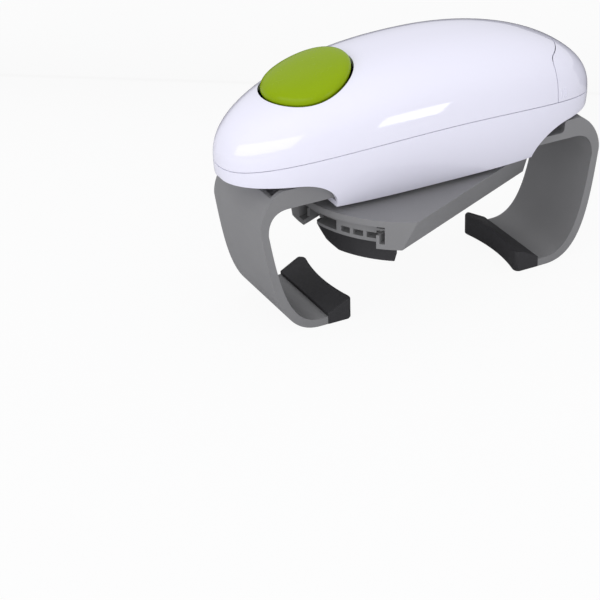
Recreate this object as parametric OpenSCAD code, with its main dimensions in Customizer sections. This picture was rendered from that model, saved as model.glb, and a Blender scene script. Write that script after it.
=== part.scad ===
// Battery-powered jar opener: an egg-shaped body that stands over a jar on two
// C-shaped arms, with a turning lid gripper underneath.
// Origin: under the twist axis, on the plane that the arms stand on. +Z is up,
// -X is the button end, +X is the battery end. Sizes are millimetres.

/* [Body] */
// Twist axis to the tip at the button end
button_end_x = 96.9; // [92:0.1:104]
// Twist axis to the tip at the battery end
battery_end_x = 91.8; // [88:0.1:100]
// Where the body is widest, measured from the twist axis
widest_x = 2.7; // [0:0.1:5]
// Half of the body's width at the seam
body_half_width = 36; // [35:0.1:40]
// Height of the seam at the two tips
seam_end_z = 79.8; // [79:0.1:84]
// How much higher the seam arches at the middle
seam_rise = 10; // [8:0.1:14]
// Height of the crown above the seam
crown_height = 30.5; // [29:0.1:38]
// Wall of the upper and lower shells
shell_wall = 2.2; // [1.6:0.1:2.6]
// Visible gap along the seam and around the battery door
seam_gap = 0.35; // [0.2:0.05:0.6]

/* [Skirt] */
// Half length of the deep middle part of the lower shell
skirt_half_length = 51; // [49:0.1:54]
// Height of the skirt's bottom edge
skirt_bottom_z = 58.5; // [57.9:0.1:60]
// How far the sides draw in from the seam to the skirt's bottom edge
skirt_draw_in = 9.8; // [8:0.1:10.5]
// Height of the flat underside at both ends
underside_z = 73.7; // [73:0.1:75]
// Length of the hollow curve from the skirt to the flat underside
arch_length = 19; // [14:0.1:22]

/* [Button] */
// Distance of the button from the twist axis
button_x = 52.8; // [50:0.1:54]
// Radius of the button
button_r = 20.2; // [18:0.1:22]
// How far the button stands above the shell
button_proud = 4.1; // [1.5:0.1:4.5]
// Wall of the button's cap
button_wall = 2.2; // [1.6:0.1:2.8]
// Travel of the button
button_travel = 1.5; // [0.8:0.1:1.8]
// Gap around the button
button_gap = 1.2; // [0.3:0.05:1.4]

/* [Battery end] */
// Where the battery door's side edges meet the cover
door_x = 61.2; // [60:0.1:64]
// Radius of the cover's rounded tongue that the door fits round
door_arc_r = 27.4; // [25:0.1:29]
// Distance from the door's line back to the centre of that arc
door_arc_back = 15.8; // [13:0.1:18]
// Rounding where the arc meets the line
door_arc_fillet = 7; // [3:0.5:9]
// Diameter of an AA cell
cell_d = 14.2; // [13.8:0.1:14.5]
// Length of an AA cell without its button
cell_length = 49.2; // [47:0.1:50]
// Height of the cells' centres
cell_z = 96; // [95.5:0.1:97]
// Inner end of the cells
cell_start_x = 19.5; // [19:0.1:21]

/* [Arms] */
// Width of each arm
arm_width = 47.5; // [40:0.1:48]
// Thickness of the arm's band
arm_thickness = 3.8; // [3:0.1:4.4]
// Widest reach of an arm from the twist axis
arm_reach = 88.6; // [87:0.1:92]
// Height at which the arm is widest
arm_widest_z = 54; // [50:0.5:56]
// Height of the arm's shoulder
shoulder_z = 72.3; // [71.5:0.1:72.6]
// Inner face of the shoulder
shoulder_x = 69.3; // [68:0.1:72]
// Underside of the arm's leg that slides in the body
leg_bottom_z = 63.2; // [62.6:0.1:63.6]
// Thickness of the leg
leg_thickness = 3.4; // [2.6:0.1:3.5]
// Inner end of the leg
leg_end_x = 34; // [33:0.1:36]
// Thickness of the cheeks beside the shoulder's pocket
cheek_thickness = 2.4; // [1.8:0.1:3]

/* [Jar pads] */
// Radius of the jar that the arms hold in this position
jar_r = 46.5; // [42:0.1:47.5]
// Outer face of each rubber pad
pad_outer_x = 56.2; // [55:0.1:60]
// Height of the pad at its outer face
pad_outer_height = 5.3; // [5:0.1:6.5]
// Height of the pad at the jar
pad_inner_height = 10.4; // [9:0.1:13]
// Radius of the pad's hollow face
pad_face_r = 86.7; // [70:0.5:120]

/* [Lid gripper] */
// Turn of the gripper away from the body's length
gripper_angle = 25; // [0:1:40]
// Radius of the lid that the jaws hold in this position
lid_r = 42; // [38:0.1:43]
// Radius of the carrier's rounded ends
carrier_end_r = 58; // [57.5:0.1:60]
// Half width of the carrier's top at its middle
carrier_half_width = 33.8; // [32:0.1:36]
// Half width of the carrier's top at its corners
carrier_corner_half_width = 29; // [28.5:0.1:31]
// Half width of the carrier's straight bottom edges
carrier_base_half_width = 30.7; // [30:0.1:32]
// Steepness of the carrier's drawn-in sides, height over width
carrier_draft = 2.4; // [2:0.1:3]
// Underside of the carrier's flanges, which rest on the lid
carrier_bottom_z = 42.5; // [42:0.1:43.5]
// Height of the carrier
carrier_height = 13.9; // [13.6:0.1:14.4]
// Thickness of the carrier's side walls
carrier_wall = 5.1; // [3:0.1:5.5]
// Thickness of the carrier's top plate
carrier_top = 3.1; // [2:0.1:3.3]
// Thickness of the bottom flanges
flange_thickness = 2.5; // [2.2:0.1:3]
// Distance of the flange lips from the middle line
flange_inner = 20.2; // [19.5:0.1:20.5]
// Thickness of the upturned lips
lip_thickness = 1.3; // [1.1:0.1:1.6]
// Height of the lips above the carrier's underside
lip_height = 6.7; // [6.4:0.1:7]
// Length over which the far lip is cut back at each end
lip_cut_back = 4.5; // [3:0.1:6]
// Radius of the jaw's outer end plate
jaw_end_r = 54; // [53:0.1:55]
// Thickness of the rubber that grips the lid
jaw_rubber_thickness = 8; // [6:0.1:9]
// Height of the rubber below the flanges
jaw_rubber_height = 9.6; // [7:0.1:10]
// Half of the angle that each rubber covers on the lid
jaw_half_angle = 27.5; // [25:0.1:29]
// Distance of the jaw's open end from its middle line
jaw_open_end = 14.5; // [13:0.1:16]

/* [Drive] */
// Radius of the turning hub in the skirt's floor
hub_r = 16; // [14:0.1:17]
// Outer radius of the hub's tube
tube_r = 6.3; // [6:0.1:6.5]
// Radius of the jaw shaft inside the tube
jaw_shaft_r = 3; // [2.5:0.1:3.4]
// Running clearance of shafts and hubs, on the radius
run_gap = 0.05; // [0.02:0.01:0.1]
// Sliding clearance between moving flat parts
slide_gap = 0.3; // [0.2:0.05:0.4]
// Module of the racks, pinions and drive gear
gear_module = 1; // [1:0.01:1.02]
// Module of the fast gears
fast_module = 0.8; // [0.78:0.01:0.82]
// Side play of the gear teeth
backlash = 0.16; // [0.1:0.02:0.3]
// Face width of the drive gear
drive_face = 5; // [4:0.1:5.2]
// Wire of the springs
spring_wire = 0.8; // [0.6:0.1:1]

/* [Hidden] */

eps = 0.01;
// exponents of the body's plan outline and of its crown
plan_power = 2.33;
crown_power = 2.57;
// the sides draw in with the square of the depth below the seam
draw_in = skirt_draw_in / pow(seam_end_z + seam_rise - skirt_bottom_z, 2);
floor_top_z = skirt_bottom_z + shell_wall;
deck_top_z = underside_z + shell_wall;
arch_end_x = skirt_half_length + arch_length;
arch_height = underside_z - skirt_bottom_z;

// gear teeth and places
arm_pinion_teeth = 16;
jaw_pinion_teeth = 14;
drive_teeth = 48;
small_teeth = 12;
large_teeth = 30;
output_teeth = 12;
arm_pinion_r = gear_module * arm_pinion_teeth / 2;
jaw_pinion_r = gear_module * jaw_pinion_teeth / 2;
drive_r = gear_module * drive_teeth / 2;
small_r = gear_module * small_teeth / 2;
large_r = fast_module * large_teeth / 2;
output_r = fast_module * output_teeth / 2;
tooth_tip = 0.8;
tooth_root = 1.05;

// stack of the drive, from the skirt's floor upwards
rack_z = leg_bottom_z + leg_thickness + 0.2;
rack_height = 4.2;
plate = 2;
chassis_z = deck_top_z + 0.1;
chassis_top_z = chassis_z + plate;
clutch_flange_z = chassis_top_z + slide_gap;
clutch_flange = 1.3;
clutch_washer_z = clutch_flange_z + clutch_flange;
clutch_washer_height = 0.8;
drive_z = clutch_washer_z + clutch_washer_height;
drive_top_z = drive_z + drive_face;
clip_height = 0.8;
tube_top_z = drive_top_z + clip_height;
large_z = tube_top_z + 0.4;
large_face = 4;
brake_z = tube_top_z + 1;
brake_height = 1.6;
bridge_z = large_z + large_face + 1.2;
bridge_top_z = bridge_z + plate;

// plan of the motor and the reduction gear
motor_x = -17;
motor_r = 10;
gear_distance = drive_r + small_r;
fast_distance = large_r + output_r;
reduction_x = (pow(gear_distance, 2) - pow(fast_distance, 2) + pow(motor_x, 2)) / (2 * motor_x);
reduction_y = sqrt(pow(gear_distance, 2) - pow(reduction_x, 2));
drive_to_reduction = atan2(reduction_y, reduction_x);
reduction_to_motor = atan2(-reduction_y, motor_x - reduction_x);
reduction_axle_r = 1.5;
gearhead_height = 8;
motor_height = 11;
end_cap_height = 1.6;

// gripper levels
carrier_top_z = carrier_bottom_z + carrier_height;
carrier_bow = carrier_half_width - carrier_corner_half_width;
carrier_chord = sqrt(pow(carrier_end_r, 2) - pow(carrier_corner_half_width, 2));
carrier_side_r = (pow(carrier_chord, 2) + pow(carrier_bow, 2)) / (2 * carrier_bow);
channel_half_width = carrier_corner_half_width - carrier_wall;
channel_top_z = carrier_top_z - carrier_top;
lip_top_z = carrier_bottom_z + lip_height;
lip_from = sqrt(pow(carrier_end_r, 2) - pow(flange_inner, 2)) - lip_cut_back;
slider_top_z = channel_top_z - slide_gap;
slider_bottom_z = carrier_bottom_z + 1.3;
rail_z = lip_top_z + slide_gap;
jaw_pinion_z = carrier_bottom_z + 2.6;
jaw_rack_z = jaw_pinion_z + 0.4;
jaw_rack_height = 4.2;
rubber_top_z = carrier_bottom_z - slide_gap;
rubber_bottom_z = rubber_top_z - jaw_rubber_height;
jaw_block_half_width = flange_inner - 2.2;
jaw_rail_thickness = 1.2;
jaw_window_width = 4.8;
jaw_window_pitch = 6.5;
jaw_window_height = 2.8;
hub_screw_circle = 11.5;
jaw_travel = 26;
jaw_rack_back = 4.9;

// pads and arms
pad_half_width = arm_width / 2 + 0.3;
pad_face_x = jar_r - pad_face_r;
arm_foot_x = pad_outer_x + 4;
tongue_height = arm_thickness - 1.6;
tongue_length = 7;
arm_travel = 22;
tunnel_half_width = arm_width / 2 + 0.6;

// screws of the two shells: [x, y]
cover_screw_spots = [[-80, -11], [-80, 11]];
cover_hook_x = 36;
cover_hook_half = 5;
cover_hook_depth = 5;
hook_gap = 0.15;
cover_screw_r = 1.3;
cover_head_r = 2.6;
cover_head_height = 1.8;
screw_boss_r = 3.4;
screw_boss_top_z = 79;
chassis_screw_spots = [[-31, -27.4], [-31, 27.4], [29, -27.4], [29, 27.4]];
pillar_spots = [[-42, -15], [-45, 15], [9, -27.6], [9, 27.6]];
pillar_r = 3;
small_screw_r = 0.9;
screw_fit = 0.05;
small_head_r = 1.8;
board_z = 97.4;
board_thickness = 1.6;
board_half_width = 27.6;
board_half_length = 15;
board_steps = 6;
board_screw_y = 24.6;
board_top_z = board_z + board_thickness;
switch_half = 3.1;
switch_height = 3.4;
switch_top_z = board_top_z + switch_height;
plunger_top_z = switch_top_z + button_travel + 0.4;
plunger_r = 1.7;
stem_r = 3;

shell_white = [0.90, 0.90, 0.95];
button_green = [0.55, 0.67, 0.12];
arm_gray = [0.50, 0.50, 0.50];
rubber_black = [0.17, 0.17, 0.18];
gear_white = [0.90, 0.88, 0.80];
rack_black = [0.15, 0.15, 0.16];
steel = [0.72, 0.73, 0.75];
nickel = [0.80, 0.78, 0.72];
board_green = [0.10, 0.35, 0.18];

// ---------------------------------------------------------------- body shapes

// the seam and the skin are described by closed formulas, so both shells,
// the door, the button and the bosses all follow the same surface
function end_length(x) = x < widest_x ? button_end_x + widest_x : battery_end_x - widest_x;
function along(x) = abs(x - widest_x) / end_length(x);
function seam_z(x) = seam_end_z + seam_rise * (1 - pow(min(along(x), 1), 2));
// half width of the outline at x when it is drawn in by inset
function outline_y(x, inset) =
    let(u = abs(x - widest_x) / (end_length(x) - inset))
    u >= 1 ? 0 : (body_half_width - inset) * pow(1 - pow(u, plan_power), 1 / plan_power);
// height of the crown over the point (x, y), inside a skin of thickness inset
function crown_z(x, y, inset) =
    let(u = abs(x - widest_x) / (end_length(x) - inset),
        v = abs(y) / (body_half_width - inset),
        rho = pow(pow(u, plan_power) + pow(v, plan_power), 1 / plan_power))
    seam_z(x) + (rho >= 1 ? 0 : (crown_height - inset) * pow(1 - pow(rho, crown_power), 1 / crown_power));
// height of the underside at x: skirt, hollow arch, then the flat ends
function under_z(x, inset) =
    let(a = arch_length + inset, h = arch_height + inset, t = (arch_end_x - abs(x)) / a)
    t <= 0 ? underside_z + inset
    : t >= 1 ? skirt_bottom_z + inset
    : max(skirt_bottom_z + inset, skirt_bottom_z + h * sqrt(1 - t * t));

// stations along the body for a skin drawn in by inset
end_steps = 9;
arch_steps = 5;
skirt_steps = 8;
function end_stations(len, inset) =
    let(full = len - inset, from = acos(arch_end_x_from(len) / full))
    [for (k = [0:end_steps - 1]) full * cos(1.6 + (from - 1.6) * k / end_steps)];
function arch_end_x_from(len) = len > button_end_x ? arch_end_x + widest_x : arch_end_x - widest_x;
function side_stations(inset) =
    [for (k = [0:arch_steps]) arch_end_x - (arch_length + inset) * sin(90 * k / arch_steps)];
function stations(inset) = concat(
    [for (d = end_stations(button_end_x + widest_x, inset)) widest_x - d],
    [for (x = side_stations(inset)) -x],
    [for (k = [1:skirt_steps - 1])
        (skirt_half_length - inset) * (2 * k / skirt_steps - 1)],
    [for (k = [arch_steps:-1:0]) side_stations(inset)[k]],
    [for (k = [end_steps - 1:-1:0])
        widest_x + end_stations(battery_end_x - widest_x, inset)[k]]);

// a closed solid through rings of points that all have the same count
module loft(rings) {
    n = len(rings[0]);
    m = len(rings);
    polyhedron(
        points = [for (r = rings) each r],
        faces = concat(
            [[for (j = [0:n - 1]) j]],
            [for (i = [0:m - 2], j = [0:n - 1])
                each let(a = i * n + j, b = i * n + (j + 1) % n)
                [[a, a + n, b + n], [a, b + n, b]]],
            [[for (j = [n - 1:-1:0]) (m - 1) * n + j]]),
        convexity = 6);
}

crown_steps = 10;
function crown_ring(x, inset, drop) =
    let(w = outline_y(x, inset))
    concat(
        [[x, w, seam_z(x) - drop]],
        [for (k = [1:2 * crown_steps - 1])
            let(y = w * sign(crown_steps - k) * pow(abs(cos(90 * k / crown_steps)), 0.8))
            [x, y, crown_z(x, y, inset)]],
        [[x, -w, seam_z(x) - drop]]);
// everything under the crown's skin, down to drop below the seam
module crown_solid(inset, drop) {
    loft([for (x = stations(inset)) crown_ring(x, inset, drop)]);
}

hull_steps = 7;
function hull_depth(x, inset) =
    let(full = end_length(x) - inset)
    min(seam_z(x) - under_z(x, inset),
        sqrt(max(full - abs(x - widest_x), 0) / draw_in));
function hull_side(x, inset, top, s) =
    let(deep = hull_depth(x, inset), first = max(-top, 0))
    concat(
        top > 0 ? [[x, s * outline_y(x, inset), seam_z(x) + top]] : [],
        [for (k = [0:hull_steps])
            let(d = first + (deep - first) * k / hull_steps)
            [x, s * outline_y(x, inset + draw_in * d * d), seam_z(x) - d]]);
function hull_ring(x, inset, top) =
    let(a = hull_side(x, inset, top, 1), b = hull_side(x, inset, top, -1))
    concat([for (k = [len(a) - 1:-1:0]) a[k]], b);
// everything inside the lower skin, up to top above the seam
module belly_solid(inset, top) {
    loft([for (x = stations(inset)) hull_ring(x, inset, top)]);
}

// ---------------------------------------------------------------- small parts

function bezier(a, b, c, d, steps) =
    [for (k = [0:steps])
        let(t = k / steps, s = 1 - t)
        s * s * s * a + 3 * s * s * t * b + 3 * s * t * t * c + t * t * t * d];

// pan-head screw standing on z = 0 with its thread up
module screw(thread_r, length, head_r, head_height) {
    difference() {
        union() {
            translate([0, 0, -head_height])
                cylinder(r = head_r, h = head_height, $fn = 32);
            cylinder(r = thread_r, h = length, $fn = 24);
        }
        for (a = [0, 90])
            rotate(a)
                translate([-head_r * 0.6, -head_r * 0.12, -head_height - eps])
                    cube([head_r * 1.2, head_r * 0.24, head_height * 0.6]);
    }
}

// involute spur gear: tooth 0 points along +X
pressure_angle = 20;
function involute(a) = tan(a) * 180 / PI - a;
function flank(r, base_r, half) = half + involute(pressure_angle) - involute(acos(min(base_r / r, 1)));
function polar(r, a) = [r * cos(a), r * sin(a)];
function gear_points(teeth, m) =
    let(pitch_r = m * teeth / 2,
        base_r = pitch_r * cos(pressure_angle),
        root_r = pitch_r - tooth_root * m,
        tip_r = pitch_r + tooth_tip * m,
        start_r = max(base_r, root_r + 0.05),
        half = 90 / teeth - backlash / 2 / pitch_r * 180 / PI / 2,
        flank_r = [for (k = [0:3]) start_r + (tip_r - start_r) * k / 3])
    [for (i = [0:teeth - 1]) let(c = 360 * i / teeth)
        each concat(
            [polar(root_r, c - flank(start_r, base_r, half))],
            [for (r = flank_r) polar(r, c - flank(r, base_r, half))],
            [for (k = [3:-1:0]) polar(flank_r[k], c + flank(flank_r[k], base_r, half))],
            [polar(root_r, c + flank(start_r, base_r, half))])];
module spur_gear(teeth, m, height) {
    linear_extrude(height)
        polygon(gear_points(teeth, m));
}

// straight rack whose teeth point to -Y; a gap lies at x = 0 on the pitch line y = 0
function rack_points(from, to, m, back) =
    let(p = PI * m, first = ceil(from / p), last = floor(to / p) - 1,
        tip_half = p / 4 - backlash / 4 - tooth_tip * m * tan(pressure_angle),
        root_half = p / 4 - backlash / 4 + tooth_root * m * tan(pressure_angle))
    concat(
        [[from, tooth_root * m]],
        [for (i = [first:last]) let(c = (i + 0.5) * p)
            each [[c - root_half, tooth_root * m], [c - tip_half, -tooth_tip * m],
                  [c + tip_half, -tooth_tip * m], [c + root_half, tooth_root * m]]],
        [[to, tooth_root * m], [to, back], [from, back]]);

// coil spring along +Z, one unbroken wire with flat-lying end turns
module coil_spring(r, wire_r, height, turns) {
    per_turn = 12;
    sides = 6;
    steps = turns * per_turn;
    loft([for (i = [0:steps])
        let(a = 360 * i / per_turn,
            z = wire_r + (height - 2 * wire_r) * i / steps)
        [for (k = [0:sides - 1])
            let(b = -360 * k / sides)
            [(r + wire_r * cos(b)) * cos(a), (r + wire_r * cos(b)) * sin(a), z + wire_r * sin(b)]]]);
}

// insulated wire along a smooth curve through two end points and two pulls
lead_steps = 10;
lead_sides = 8;
function unit(v) = v / norm(v);
module lead(a, b, c, d, r) {
    line = bezier(a, b, c, d, lead_steps);
    loft([for (i = [0:lead_steps])
        let(t = unit(line[min(i + 1, lead_steps)] - line[max(i - 1, 0)]),
            e = unit(cross(t, [0.31, 0.17, 0.9])),
            f = cross(t, e))
        [for (k = [0:lead_sides - 1])
            line[i] + r * (e * cos(360 * k / lead_sides) + f * sin(360 * k / lead_sides))]]);
}

// ---------------------------------------------------------------- shells

// the end of the crown that the battery door takes up
module door_region(grow) {
    reach = body_half_width + 10;
    translate([0, 0, seam_end_z - 5])
        linear_extrude(crown_height + seam_rise + 20)
            difference() {
                translate([door_x - grow, -reach])
                    square([battery_end_x - door_x + 10, 2 * reach]);
                // the cover's side of the line, with its tongue blended in
                offset(r = -door_arc_fillet, $fn = 96)
                    offset(delta = door_arc_fillet)
                        union() {
                            translate([door_x - grow - 30, -2 * reach])
                                square([30, 4 * reach]);
                            translate([door_x - door_arc_back, 0])
                                circle(r = door_arc_r - grow, $fn = 96);
                        }
            }
}

module cover_boss(p) {
    top = crown_z(p[0], p[1] + sign(p[1]) * screw_boss_r, shell_wall);
    hull() {
        translate([p[0], p[1], screw_boss_top_z])
            cylinder(r = screw_boss_r, h = top - screw_boss_top_z, $fn = 24);
    }
}

// tongues that reach down behind the lower shell's wall and snap into it
module cover_hooks() {
    for (s = [-1, 1])
        intersection() {
            translate([s > 0 ? cover_hook_x - cover_hook_half : -cover_hook_x - cover_hook_half,
                       -body_half_width, seam_z(cover_hook_x) - cover_hook_depth])
                cube([2 * cover_hook_half, 2 * body_half_width, 2 * cover_hook_depth]);
            difference() {
                union() {
                    belly_solid(shell_wall + hook_gap, cover_hook_depth);
                    intersection() {
                        belly_solid(shell_wall - 0.4, cover_hook_depth);
                        crown_solid(0, -1);
                    }
                }
                belly_solid(shell_wall + hook_gap + 1.6, cover_hook_depth + 2);
            }
        }
    // barbs in the lower shell's windows, ramped at the bottom
    for (sx = [-1, 1], sy = [-1, 1])
        translate([sx * cover_hook_x - 2,
                   sy * outline_y(sx * cover_hook_x, shell_wall + hook_gap + 0.4),
                   seam_z(sx * cover_hook_x) - cover_hook_depth + 0.6])
            hull() {
                translate([0, -0.7, 1])
                    cube([4, 1.4, 0.4]);
                translate([0, sy < 0 ? 0 : -0.7, 0])
                    cube([4, 0.7, 0.4]);
            }
}

module upper_cover() {
    color(shell_white)
    difference() {
        union() {
            difference() {
                crown_solid(0, -seam_gap / 2);
                crown_solid(shell_wall, 3);
            }
            cover_hooks();
            intersection() {
                crown_solid(shell_wall / 2, 12);
                union() {
                    for (p = cover_screw_spots)
                        cover_boss([p[0], p[1], 0]);
                    for (s = [-1, 1])
                        hull() {
                            translate([-button_x, s * board_screw_y, board_top_z])
                                cylinder(r = 2.4, h = 12, $fn = 24);
                        }
                    // ribs that stiffen the crown between the button and the door
                    for (x = [1, 13])
                        hull() {
                            for (s = [-1, 1])
                                translate([x, s * 22, crown_z(x, 22, shell_wall) - 2.5])
                                    cylinder(r = 0.8, h = 10, $fn = 12);
                        }
                }
            }
        }
        translate([-button_x, 0, board_z])
            cylinder(r = button_r + button_gap, h = 40, $fn = 96);
        door_region(seam_gap / 2);
        for (p = cover_screw_spots)
            translate([p[0], p[1], screw_boss_top_z - eps])
                cylinder(r = cover_screw_r + screw_fit, h = 9, $fn = 32);
        for (s = [-1, 1])
            translate([-button_x, s * board_screw_y, board_top_z - eps])
                cylinder(r = small_screw_r + screw_fit, h = 4, $fn = 32);
    }
}

module lower_shell() {
    boss_base_z = deck_top_z - 0.5;
    color(shell_white)
    difference() {
        union() {
            difference() {
                belly_solid(0, -seam_gap / 2);
                belly_solid(shell_wall, 2);
            }
            intersection() {
                belly_solid(shell_wall / 2, -seam_gap);
                union() {
                    // screw bosses of the two shells
                    for (p = cover_screw_spots)
                        hull() {
                            translate([p[0], p[1], boss_base_z])
                                cylinder(r = screw_boss_r + 0.8, h = screw_boss_top_z - boss_base_z - 0.1,
                                         $fn = 24);
                        }
                    // corbels that carry the chassis plate
                    for (p = chassis_screw_spots)
                        hull() {
                            translate([p[0], p[1], chassis_z - 6])
                                cylinder(r = 3.2, h = 5.9, $fn = 24);
                            translate([p[0], p[1] + sign(p[1]) * 4, chassis_z - 10])
                                cylinder(r = 2, h = 1, $fn = 24);
                        }
                    // rails under the legs of the arms
                    for (sx = [-1, 1], sy = [-1, 1])
                        translate([sx > 0 ? hub_r + 6 : -skirt_half_length + 2, sy * 17 - 1.5, floor_top_z - 1])
                            cube([skirt_half_length - hub_r - 8, 3,
                                  leg_bottom_z - slide_gap - floor_top_z + 1]);
                }
            }
        }
        // tunnels that the arms slide through
        for (s = [-1, 1])
            translate([s > 0 ? skirt_half_length - 6 : -arch_end_x - 4, -tunnel_half_width, floor_top_z + 0.6])
                cube([arch_length + 10, 2 * tunnel_half_width, underside_z - floor_top_z - 0.6]);
        translate([0, 0, skirt_bottom_z - 1])
            cylinder(r = hub_r + 3 + run_gap, h = shell_wall + 3, $fn = 96);
        for (p = cover_screw_spots) {
            translate([p[0], p[1], underside_z - 1])
                cylinder(r = cover_screw_r + 0.3, h = 10, $fn = 24);
            translate([p[0], p[1], underside_z - 1])
                cylinder(r = cover_head_r + 0.3, h = cover_head_height + 1.4, $fn = 32);
        }
        for (p = chassis_screw_spots)
            translate([p[0], p[1], chassis_z - 5])
                cylinder(r = small_screw_r + screw_fit, h = 6, $fn = 32);
        // blind windows for the cover's barbs
        for (sx = [-1, 1], sy = [-1, 1])
            translate([sx * cover_hook_x - 2.2,
                       sy * (outline_y(sx * cover_hook_x, shell_wall + hook_gap + 0.4)) - 1,
                       seam_z(sx * cover_hook_x) - cover_hook_depth + 0.8])
                cube([4.4, 2, 1.6]);
    }
}

module cover_screws() {
    color(steel)
    for (p = cover_screw_spots)
        translate([p[0], p[1], underside_z + 0.4 + cover_head_height])
            screw(cover_screw_r, 8, cover_head_r, cover_head_height);
}

// flanged ring that the gripper's hub turns in
module hub_bush() {
    color(gear_white)
    difference() {
        union() {
            translate([0, 0, carrier_top_z + 0.1])
                cylinder(r = hub_r + 5, h = skirt_bottom_z - carrier_top_z - 0.1, $fn = 96);
            translate([0, 0, skirt_bottom_z - eps])
                cylinder(r = hub_r + 3, h = shell_wall + 0.4, $fn = 96);
        }
        translate([0, 0, carrier_top_z - 1])
            cylinder(r = hub_r + run_gap, h = 10, $fn = 96);
    }
}

// ---------------------------------------------------------------- gear frame

module chassis_plate() {
    hole_r = arm_pinion_r - tooth_root * gear_module + 1.2;
    color(gear_white)
    difference() {
        union() {
            translate([0, 0, chassis_z])
                linear_extrude(plate)
                    polygon([[-47, -17], [-36, -29.4], [34, -29.4], [38, -24], [38, 24],
                             [34, 29.4], [-36, 29.4], [-49, 17]]);
            for (p = pillar_spots)
                translate([p[0], p[1], chassis_top_z - eps])
                    cylinder(r = pillar_r, h = bridge_z - chassis_top_z + eps, $fn = 32);
        }
        translate([0, 0, chassis_z - 1])
            cylinder(r = arm_sleeve_r + run_gap, h = plate + 2, $fn = 64);
        translate([reduction_x, reduction_y, chassis_z - 1])
            cylinder(r = reduction_axle_r, h = plate + 2, $fn = 32);
        for (p = chassis_screw_spots)
            translate([p[0], p[1], chassis_z - 1])
                cylinder(r = small_screw_r + 0.2, h = plate + 2, $fn = 24);
        for (p = pillar_spots)
            translate([p[0], p[1], bridge_z - 6])
                cylinder(r = small_screw_r + screw_fit, h = 7, $fn = 24);
    }
}
arm_sleeve_r = arm_pinion_r + 0.6;

module chassis_screws() {
    color(steel)
    for (p = chassis_screw_spots)
        translate([p[0], p[1], chassis_top_z])
            rotate([180, 0, 0])
                screw(small_screw_r, plate + 4.5, small_head_r, 1.3);
}

module bridge_plate() {
    color(gear_white)
    difference() {
        translate([0, 0, bridge_z])
            linear_extrude(plate)
                polygon([[-46, -16], [-40, -19], [6, -31], [12, -31], [12.5, -26], [12.5, 26],
                         [12, 31], [6, 31], [-42, 19.5], [-48.5, 17]]);
        translate([0, 0, bridge_z - 1])
            cylinder(r = jaw_shaft_r + run_gap, h = plate + 2, $fn = 48);
        translate([reduction_x, reduction_y, bridge_z - 1])
            cylinder(r = reduction_axle_r, h = plate + 2, $fn = 32);
        translate([motor_x, 0, bridge_z - 1])
            cylinder(r = 3.2, h = plate + 2, $fn = 48);
        for (p = pillar_spots)
            translate([p[0], p[1], bridge_z - 1])
                cylinder(r = small_screw_r + 0.2, h = plate + 2, $fn = 24);
    }
}

module bridge_screws() {
    color(steel)
    for (p = pillar_spots)
        translate([p[0], p[1], bridge_top_z])
            rotate([180, 0, 0])
                screw(small_screw_r, plate + 5, small_head_r, 1.3);
}

module gear_axle() {
    color(steel)
    translate([reduction_x, reduction_y, chassis_z])
        cylinder(r = reduction_axle_r, h = bridge_top_z - chassis_z, $fn = 32);
}

// ---------------------------------------------------------------- motor

module motor_gearhead() {
    color(nickel)
    difference() {
        union() {
            translate([motor_x, 0, bridge_top_z])
                cylinder(r = motor_r, h = gearhead_height, $fn = 64);
            translate([motor_x, 0, bridge_z])
                cylinder(r = 3.2, h = plate + eps, $fn = 48);
        }
        translate([motor_x, 0, bridge_z - 1])
            cylinder(r = 1.5 + run_gap, h = 7, $fn = 32);
    }
}

module motor_case() {
    color(steel)
    translate([motor_x, 0, bridge_top_z + gearhead_height])
        cylinder(r = motor_r - 0.4, h = motor_height, $fn = 64);
}

module motor_end_cap() {
    top_z = bridge_top_z + gearhead_height + motor_height;
    color(rack_black)
    difference() {
        translate([motor_x, 0, top_z])
            cylinder(r = motor_r - 1, h = end_cap_height, $fn = 64);
        for (s = [-1, 1])
            translate([motor_x - 0.5, s * 6 - 1.2, top_z + 0.6])
                cube([1, 2.4, end_cap_height]);
    }
}

// shaft and pinion that come out of the gearhead
module output_pinion() {
    color(steel)
    translate([motor_x, 0, 0]) {
        translate([0, 0, large_z])
            rotate(reduction_to_motor + 180 + 180 / output_teeth)
                spur_gear(output_teeth, fast_module, large_face);
        translate([0, 0, large_z + large_face - eps])
            cylinder(r = 1.5, h = bridge_z + 4 - large_z - large_face, $fn = 32);
    }
}

// ---------------------------------------------------------------- gears

module reduction_gear() {
    hub_z = drive_z + 0.2;
    color(gear_white)
    difference() {
        translate([reduction_x, reduction_y, 0]) {
            translate([0, 0, hub_z])
                rotate(drive_to_reduction + 180 + 180 / small_teeth)
                    spur_gear(small_teeth, gear_module, large_z - hub_z + eps);
            translate([0, 0, large_z])
                rotate(reduction_to_motor)
                    spur_gear(large_teeth, fast_module, large_face);
        }
        translate([reduction_x, reduction_y, hub_z - 1])
            cylinder(r = reduction_axle_r + run_gap, h = large_z + large_face - hub_z + 2, $fn = 32);
    }
}

module drive_gear() {
    color(gear_white)
    difference() {
        translate([0, 0, drive_z])
            rotate(drive_to_reduction)
                spur_gear(drive_teeth, gear_module, drive_face);
        translate([0, 0, drive_z - 1])
            cylinder(r = tube_r, h = drive_face + 2, $fn = 64);
        // lightening holes in the web
        for (a = [0:60:300])
            rotate(a)
                translate([drive_r * 0.62, 0, drive_z - 1])
                    cylinder(r = 3.2, h = drive_face + 2, $fn = 32);
    }
}

module hub_clip() {
    color(steel)
    difference() {
        translate([0, 0, drive_top_z])
            cylinder(r = tube_r + 2.2, h = clip_height, $fn = 48);
        translate([0, 0, drive_top_z - 1])
            cylinder(r = tube_r, h = clip_height + 2, $fn = 64);
        translate([0, -1.5, drive_top_z - 1])
            cube([tube_r + 4, 3, clip_height + 2]);
    }
}

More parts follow.
